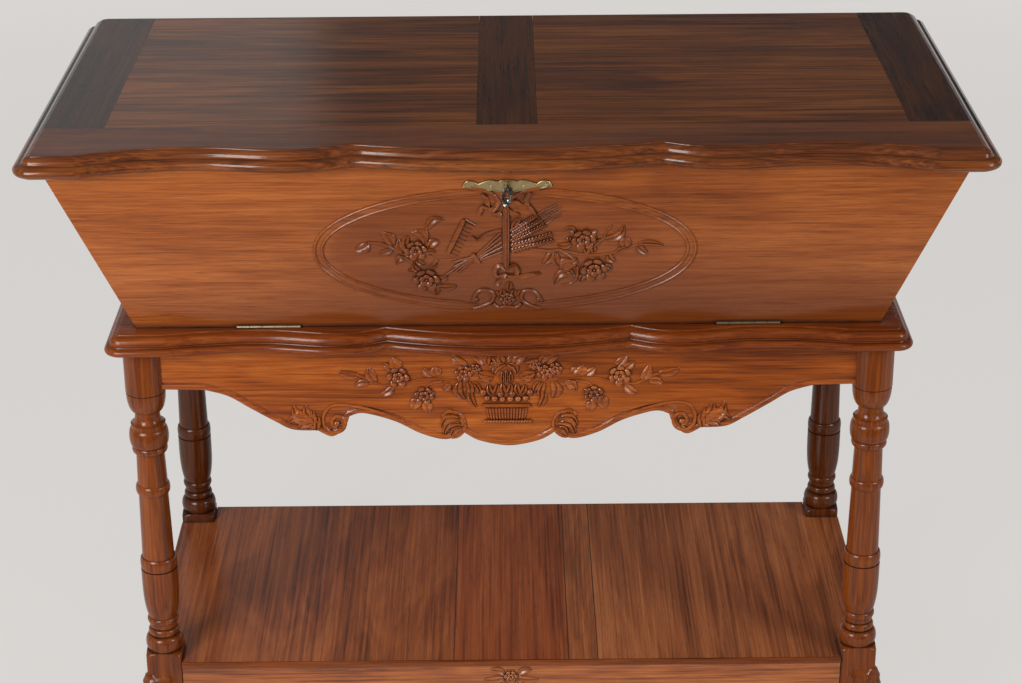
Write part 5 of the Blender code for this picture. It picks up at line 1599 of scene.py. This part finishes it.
@dataclass
class Studio:
    """A pale floor, two softboxes, a studio room and the camera."""

    backdrop: tuple = srgb(226, 223, 220)
    eye: tuple = (-0.0010, -3.2248, 2.0296)
    pitch: float = 24.026
    yaw: float = 0.081
    roll: float = -0.453
    lens: float = 83.0
    sensor: float = 36.0
    clip: float = 60.0
    bare_floor: tuple = srgb(122, 118, 114)
    horizon_light: float = 0.75
    front_light: float = 0.22
    dome_light: float = 0.26
    wall_light: float = 0.03
    panel_light: float = 0.28
    floor_size: float = 14.0
    paper_edge: Pair = (-1.34, -1.12)
    far_fade: Pair = (6.0, 36.0)
    gloss_share: float = 0.34
    aim: tuple = (0.0, 0.0, 0.7)
    lamps: tuple = (
        ("softbox_left", -36, 17, 3.0, (1.15, 1.6), 66.5), ("softbox_right", 54, 17, 3.0, (0.9, 1.5), 27.0),
    )

    def camera(self) -> None:
        """Set the camera where the photograph was taken from."""
        pitch, yaw, roll = (math.radians(angle) for angle in (self.pitch, self.yaw, self.roll))
        ahead = Vector((math.sin(yaw) * math.cos(pitch), math.cos(yaw) * math.cos(pitch), -math.sin(pitch)))
        level = Vector((math.cos(yaw), -math.sin(yaw), 0))
        upright = level.cross(ahead)
        right = level * math.cos(roll) + upright * math.sin(roll)
        up = right.cross(ahead)
        data = bpy.data.cameras.new("camera")
        data.lens = self.lens
        data.sensor_width = self.sensor
        data.clip_end = self.clip
        camera = bpy.data.objects.new("camera", data)
        turn = Matrix((right, up, -ahead)).transposed().to_4x4()
        camera.matrix_world = Matrix.Translation(self.eye) @ turn
        bpy.context.scene.collection.objects.link(camera)
        bpy.context.scene.camera = camera

    def softbox(
        self, name: str, bearing: float, height: float, distance: float, size: Pair, power: float
    ) -> None:
        """Hang a softbox that faces the table.

        Args:
            name: The lamp's name.
            bearing: Degrees from the front, to the right.
            height: Degrees above the table's middle.
            distance: Metres from the table's middle.
            size: Its width and height.
            power: Its power in watts.
        """
        data = bpy.data.lights.new(name, "AREA")
        data.shape = "RECTANGLE"
        data.size, data.size_y = size
        data.energy = power
        side, lift = math.radians(bearing), math.radians(height)
        out = Vector((math.sin(side) * math.cos(lift), -math.cos(side) * math.cos(lift), math.sin(lift)))
        lamp = bpy.data.objects.new(name, data)
        lamp.location = Vector(self.aim) + out * distance
        lamp.rotation_euler = out.to_track_quat("Z", "Y").to_euler()
        bpy.context.scene.collection.objects.link(lamp)

    def floor(self) -> None:
        """Lay the pale floor, which shows its own colour to the eye and keeps a soft shadow."""
        graph = Graph(bpy.data.materials.new("pale_floor"))
        place = graph.add("ShaderNodeTexCoord", output="Object")
        mottle = graph.noise(place, 1.3, 2.0)
        tone = graph.tint(mottle * 0.12, self.backdrop, srgb(218, 214, 211))
        seen = graph.add("ShaderNodeLightPath", output="Is Camera Ray")
        shiny = graph.add("ShaderNodeLightPath", output="Is Glossy Ray")
        x, y = graph.split(place, "XY")
        paper = y.ease(*self.paper_edge).highest(seen)
        tone = graph.tint(paper, self.bare_floor, tone)
        diffuse = graph.add("ShaderNodeBsdfDiffuse", {}, {"Color": tone})
        glow = graph.add("ShaderNodeEmission", {}, {"Color": tone, "Strength": 1.0})
        far = (x * x + y * y).ease(*self.far_fade)
        sheen = shiny * (1.0 - x.ease(0.0, 0.5) * 0.7) * self.gloss_share
        share = (seen * (far * 0.20 + 0.80)).highest(sheen)
        graph.add_output(graph.add("ShaderNodeMixShader", {}, {0: share, 1: diffuse, 2: glow}))
        bm = bmesh.new()
        bmesh.ops.create_grid(bm, x_segments=1, y_segments=1, size=self.floor_size)
        mesh = bpy.data.meshes.new("studio_floor")
        bm.to_mesh(mesh)
        bm.free()
        mesh.materials.append(graph.owner)
        floor = bpy.data.objects.new("studio_floor", mesh)
        bpy.context.scene.collection.objects.link(floor)

    def world(self) -> None:
        """Surround the studio: pale to the eye, a bright horizon, a dim ceiling and a darker back wall."""
        graph = Graph(bpy.data.worlds.new("studio"))
        way = graph.add("ShaderNodeTexCoord", output="Generated")
        x, y, z = graph.split(way, "XYZ")
        left = 1.0 - (x + y * 0.084).ease(-0.012, 0.012)
        wall = left * (self.panel_light - self.wall_light) + self.wall_light
        behind = y.ease(0.05, 0.45) * (1.0 - z.ease(0.55, 0.85))
        above = behind * (wall - self.dome_light) + self.dome_light
        horizon = y.ease(-0.5, 0.3) * (self.horizon_light - self.front_light) + self.front_light
        light = z.ease(0.15, 0.22) * (above - horizon) + horizon
        seen = graph.add("ShaderNodeLightPath", output="Is Camera Ray")
        grey = graph.add("ShaderNodeCombineXYZ", {}, {0: light, 1: light, 2: light})
        tone = graph.tint(seen, grey, self.backdrop)
        back = graph.add("ShaderNodeBackground", {}, {"Color": tone, "Strength": 1.0})
        graph.add_output(back, "ShaderNodeOutputWorld")
        bpy.context.scene.world = graph.owner

    def build(self) -> None:
        """Set up the studio."""
        self.camera()
        self.floor()
        self.world()
        for lamp in self.lamps:
            self.softbox(*lamp)
        bpy.context.scene.view_settings.view_transform = "Standard"


# Dark wax colours for pores and hollows; in the hollows they also paint shade.
DARK_WAX_AND_SHADE = srgb(38, 18, 9)
BLACK_WAX_AND_SHADE = srgb(24, 13, 8)
FRONT_WALNUT = WoodFinish(
    "front_walnut", Slot.WALNUT, srgb(98, 43, 13), srgb(156, 81, 31), srgb(194, 112, 52), DARK_WAX_AND_SHADE,
    contrast=0.78, shine=0.36, wax_and_shade_share=0.84, polish=0.20, wax_and_shade_top=0.960,
    stains_and_shade=(
        # A real stain in the polish inside the oval, stronger to the left.
        StainAndShade((-0.0037, 0.8418), (0.2535, 0.0904), 0.80, 0.55, 0.45),
        # Painted shade: a broad band darker towards the bottom of the front, standing for less light and a
        # darker reflection there.
        StainAndShade((0.15, 0.70), (0.9, 0.15), 0.02, 0.75),
        # A broad darkening in the middle of the front, lighter towards both ends.
        StainAndShade((0.03, 0.85), (0.5, 0.25), 0.05, 0.18),
    ),
)
APRON_WALNUT = WoodFinish(
    "apron_walnut", Slot.WALNUT, srgb(102, 44, 10), srgb(155, 74, 18), srgb(186, 102, 35), DARK_WAX_AND_SHADE,
    contrast=1.1, shine=0.38, wax_and_shade_share=0.9, polish=0.3,
)
TRAY_WALNUT = WoodFinish(
    "tray_walnut", Slot.WALNUT, srgb(72, 28, 5), srgb(111, 47, 8), srgb(145, 70, 19), DARK_WAX_AND_SHADE, gloss=0.25,
    shine=0.30, wax_and_shade_share=0.95, polish=0.15,
)
LEG_WALNUT = WoodFinish(
    "leg_walnut", Slot.WALNUT, srgb(74, 32, 7), srgb(116, 53, 12), srgb(148, 76, 25), DARK_WAX_AND_SHADE, gloss=0.22,
    shine=0.26, polish=0.24,
)
# Painted shade: the back legs take a darker copy of the leg wood, for the shade of the bin above them.
SHADED_BACK_LEG_WALNUT = WoodFinish(
    "back_leg_walnut", Slot.WALNUT, srgb(52, 22, 5), srgb(82, 36, 8), srgb(108, 54, 16), DARK_WAX_AND_SHADE, gloss=0.24,
    shine=0.26, polish=0.24,
)
LOWER_WALNUT = WoodFinish(
    "lower_walnut", Slot.WALNUT, srgb(108, 52, 20), srgb(160, 85, 36), srgb(192, 113, 54), DARK_WAX_AND_SHADE,
    contrast=1.25,
)
LID_WALNUT = WoodFinish(
    "lid_walnut", Slot.DARK_WALNUT, srgb(80, 38, 10), srgb(126, 65, 20), srgb(166, 96, 37), BLACK_WAX_AND_SHADE,
    contrast=1.8, gloss=0.34, shine=0.05, polish=0.9, run=2.0,
)
LID_DARK_WALNUT = WoodFinish(
    "lid_dark_walnut", Slot.DARK_WALNUT, srgb(44, 18, 3), srgb(72, 32, 5), srgb(100, 52, 16), BLACK_WAX_AND_SHADE,
    contrast=1.7, gloss=0.34, shine=0.05, polish=0.9, run=2.0,
)
LID_RAIL_WALNUT = WoodFinish(
    "lid_rail_walnut", Slot.DARK_WALNUT, srgb(78, 36, 10), srgb(117, 57, 17), srgb(148, 82, 32), BLACK_WAX_AND_SHADE,
    contrast=1.4, gloss=0.32, shine=0.15, polish=0.55,
)
SHELF_WALNUT = WoodFinish(
    "shelf_walnut", Slot.DARK_WALNUT, srgb(92, 42, 18), srgb(146, 74, 34), srgb(182, 103, 53), BLACK_WAX_AND_SHADE,
    contrast=1.15, gloss=0.33, run=3.4,
)
SHELF_RED_WALNUT = WoodFinish(
    "shelf_red_walnut", Slot.DARK_WALNUT, srgb(96, 41, 17), srgb(151, 73, 33), srgb(186, 101, 51), BLACK_WAX_AND_SHADE,
    contrast=1.1, gloss=0.33, run=3.4,
)
SHELF_PALE_WALNUT = WoodFinish(
    "shelf_pale_walnut", Slot.DARK_WALNUT, srgb(106, 54, 28), srgb(162, 91, 50), srgb(198, 121, 71),
    BLACK_WAX_AND_SHADE, contrast=1.1, gloss=0.33, run=3.4,
)
JOINT_WAX = WoodFinish(
    "joint_wax", Slot.DARK_WALNUT, srgb(34, 17, 9), srgb(48, 25, 13), srgb(62, 34, 18), BLACK_WAX_AND_SHADE,
    gloss=0.5, polish=0.0,
)
BARE_POPLAR = WoodFinish(
    "bare_poplar", Slot.POPLAR, srgb(152, 106, 66), srgb(188, 142, 96), srgb(210, 170, 126), srgb(84, 58, 36),
    gloss=0.62, shine=0.25,
)
OLD_BRASS = MetalFinish("old_brass", Slot.BRASS, srgb(220, 196, 146), srgb(132, 112, 74), 0.34, 0.4)
HINGE_BRASS = MetalFinish("hinge_brass", Slot.BRASS, srgb(178, 164, 134), srgb(84, 72, 54), 0.30, 0.6)
OLD_STEEL = MetalFinish("old_steel", Slot.STEEL, srgb(164, 162, 156), srgb(58, 54, 48), 0.24, 0.6)
OLD_IRON = MetalFinish("old_iron", Slot.IRON, srgb(104, 100, 96), srgb(52, 44, 38), 0.42, 0.7)

LID_PROFILE = (
    (26.0, 0.0), (22.8, 0.0), (22.1, 0.2), (21.7, 0.7), (21.6, 1.5), (20.6, 1.6), (18.8, 1.9),
    (16.8, 2.8), (15.0, 4.3), (13.7, 6.2), (13.1, 8.0), (12.9, 9.2), (12.2, 10.4), (10.9, 11.1),
    (9.3, 11.2), (7.6, 11.0), (5.6, 11.4), (3.6, 12.4), (1.8, 14.0), (0.5, 16.1), (0.0, 18.6),
    (0.4, 21.0), (1.5, 23.2), (3.4, 25.0), (5.6, 26.2), (8.0, 27.2), (11.0, 28.8), (14.0, 29.8),
    (17.0, 30.0),
)
TRAY_PROFILE = (
    (22.0, 0.0), (18.6, 0.0), (18.0, 0.25), (17.7, 0.9), (17.6, 2.2), (16.6, 2.5), (14.6, 2.7),
    (12.4, 3.3), (10.2, 4.6), (8.6, 6.6), (7.6, 9.0), (7.2, 11.6), (7.2, 13.6), (7.6, 14.6),
    (7.9, 15.6), (7.4, 16.6), (6.0, 17.1), (4.6, 17.1), (3.0, 17.6), (1.4, 18.8), (0.4, 20.4),
    (0.0, 22.4), (0.4, 24.4), (1.5, 26.2), (3.2, 27.4), (5.4, 28.0), (11.0, 28.0),
)
FRONT_CONTOUR = (
    ((0, 1), (0.086, 0.913), (0.132, 0.772)),
    ((0.132, 0.772), (0.185, 0.886), (0.257, 0.783), (0.332, 0.571), (0.421, 0.429), (0.463, 0.478)),
    ((0.463, 0.478), (0.477, 0.652), (0.514, 0.821), (0.557, 0.717)),
    ((0.557, 0.717), (0.629, 0.696), (0.680, 0.554), (0.750, 0.326), (0.812, 0.120), (0.878, 0.015)),
)
SIDE_CONTOUR = (
    ((0, 1), (0.20, 0.85), (0.32, 0.55)),
    ((0.32, 0.55), (0.44, 0.72), (0.62, 0.50), (0.76, 0.15), (0.88, 0.03)),
)
PLAIN_CONTOUR = (((0, 1), (0.40, 0.85), (0.70, 0.25), (0.88, 0.05)),)
FALL_FRONT_FACE = Matrix((
    (1, 0, 0, 0), (0, -0.18472, -0.98279, -0.2312), (0, 0.98279, -0.18472, 0.7210), (0, 0, 0, 1),
))


def dress_solids() -> None:
    """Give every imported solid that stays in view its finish."""
    boards = {
        "lid_panel_left": (LID_WALNUT, Grain.ALONG_X, 21.0),
        "lid_panel_right": (LID_WALNUT, Grain.ALONG_X, 27.0),
        "lid_muntin": (LID_DARK_WALNUT, Grain.ALONG_Y, 23.0),
        "lid_cleat_left": (BARE_POPLAR, Grain.ALONG_Y, 3.0),
        "lid_cleat_right": (BARE_POPLAR, Grain.ALONG_Y, 4.0),
        "fall_front": (FRONT_WALNUT, Grain.ALONG_X, 13.0),
        "trough_back": (FRONT_WALNUT, Grain.ALONG_X, 31.0),
        "trough_end_left": (FRONT_WALNUT, Grain.ALONG_Y, 32.0),
        "trough_end_right": (FRONT_WALNUT, Grain.ALONG_Y, 33.0),
        "trough_floor": (BARE_POPLAR, Grain.ALONG_X, 2.0),
        "tray_back": (TRAY_WALNUT, Grain.ALONG_X, 35.0),
        "shelf_board_left": (SHELF_WALNUT, Grain.ALONG_Y, 41.0),
        "shelf_board_centre": (SHELF_RED_WALNUT, Grain.ALONG_Y, 42.0),
        "shelf_board_strip": (SHELF_PALE_WALNUT, Grain.ALONG_Y, 44.0),
        "shelf_board_right": (SHELF_PALE_WALNUT, Grain.ALONG_Y, 46.0),
    }
    metals = (
        (HINGE_BRASS, ("hinge",)), (OLD_BRASS, ("escutcheon", "brass")),
        (OLD_IRON, ("lock", "strike", "iron", "pin", "screw")), (OLD_STEEL, ("key",)),
    )
    for name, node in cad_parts.items():
        if name in boards:
            finish, grain, seed = boards[name]
            material = finish.material(grain, seed)
        else:
            words = (node.data.materials[0].name if node.data.materials else "") + name
            made_of = [metal for metal, signs in metals if any(sign in words for sign in signs)]
            material = made_of[0].material() if made_of else FRONT_WALNUT.material(Grain.ALONG_X, 50.0)
        node.data.materials.clear()
        node.data.materials.append(material)
        LOG.info("%s: %s", name, material.name)


def aprons() -> list[Apron]:
    """Return the eight aprons, upper and lower."""
    turns = {"front": 0.0, "right": QUARTER, "back": 2 * QUARTER, "left": -QUARTER}
    upper = (
        ("front", 0.4869, 0.2289, 0.160, FRONT_CONTOUR), ("right", 0.1916, 0.5242, 0.105, SIDE_CONTOUR),
        ("back", 0.4869, 0.2289, 0.085, PLAIN_CONTOUR), ("left", 0.1916, 0.5242, 0.105, SIDE_CONTOUR),
    )
    lower = (
        ("front", 0.4859, 0.2409, 0.090, SIDE_CONTOUR), ("right", 0.1906, 0.5362, 0.075, SIDE_CONTOUR),
        ("back", 0.4859, 0.2409, 0.075, SIDE_CONTOUR), ("left", 0.1906, 0.5362, 0.075, SIDE_CONTOUR),
    )
    tiers = (
        ("apron", upper, 0.6924, 0.068, APRON_WALNUT, 60.0),
        ("lower_apron", lower, 0.1767, 0.060, LOWER_WALNUT, 70.0),
    )
    made = []
    for tier, rows, top_z, end_drop, finish, seed in tiers:
        for number, (word, half, face, drop, runs) in enumerate(rows):
            made.append(Apron(
                f"{tier}_{word}", turns[word], half, face, top_z, end_drop, drop, runs, finish, seed + number
            ))
    return made


def moulded_frames() -> list[MouldedFrame]:
    """Return the lid's and the tray's moulded edges."""
    lid_plan = Serpentine(
        bow=0.0125, cusp_x=0.206, cusp=0.038, bulge_x=0.291, bulge=0.0170, hollow_x=0.415, hollow=0.030
    )
    tray_plan = Serpentine(
        bow=-0.006, cusp_x=0.168, cusp=0.019, bulge_x=0.233, bulge=0.0005, hollow_x=0.345, hollow=0.0145
    )
    lid = MouldedFrame(
        "lid", lid_plan, half_x=0.65, front_y=-0.33, seam_y=-0.195, back_y=0.3302, end_inner_x=0.545,
        top_z=1.0003, radius=0.027, straight=0.056, back_round=0.009, profile=LID_PROFILE,
        finish=LID_RAIL_WALNUT, end_finish=LID_DARK_WALNUT, rail_node="lid_front_rail",
        end_nodes=("lid_end_left", "lid_end_right"), fitting="strike_plate",
    )
    tray = MouldedFrame(
        "tray", tray_plan, half_x=0.5592, front_y=-0.2739, seam_y=-0.1689, back_y=0.2739, end_inner_x=0.4542,
        top_z=0.7207, radius=0.024, straight=0.060, back_round=0.006, profile=TRAY_PROFILE,
        finish=TRAY_WALNUT, end_finish=TRAY_WALNUT, rail_node="tray_front",
        end_nodes=("tray_left", "tray_right"),
    )
    return [lid, tray]


def main() -> None:
    """Build and dress the table in order."""
    logging.basicConfig(level=logging.INFO, format="%(name)s: %(message)s")
    Studio().build()
    dress_solids()
    for moulded in moulded_frames():
        moulded.build()
    Legs(LEG_WALNUT, SHADED_BACK_LEG_WALNUT).build()
    ShelfTrim(JOINT_WAX, LEG_WALNUT).build()
    boards = aprons()
    for board in boards:
        board.build()
    ApronCarving(APRON_WALNUT, boards[0].base()).build()
    LowerCarving(LOWER_WALNUT, boards[4].base()).build()
    FallFrontCarving(FRONT_WALNUT, FALL_FRONT_FACE).build()
    Ironwork(FALL_FRONT_FACE, OLD_BRASS, OLD_STEEL).build()
    bpy.context.view_layer.update()


if __name__ == "__main__":
    main()
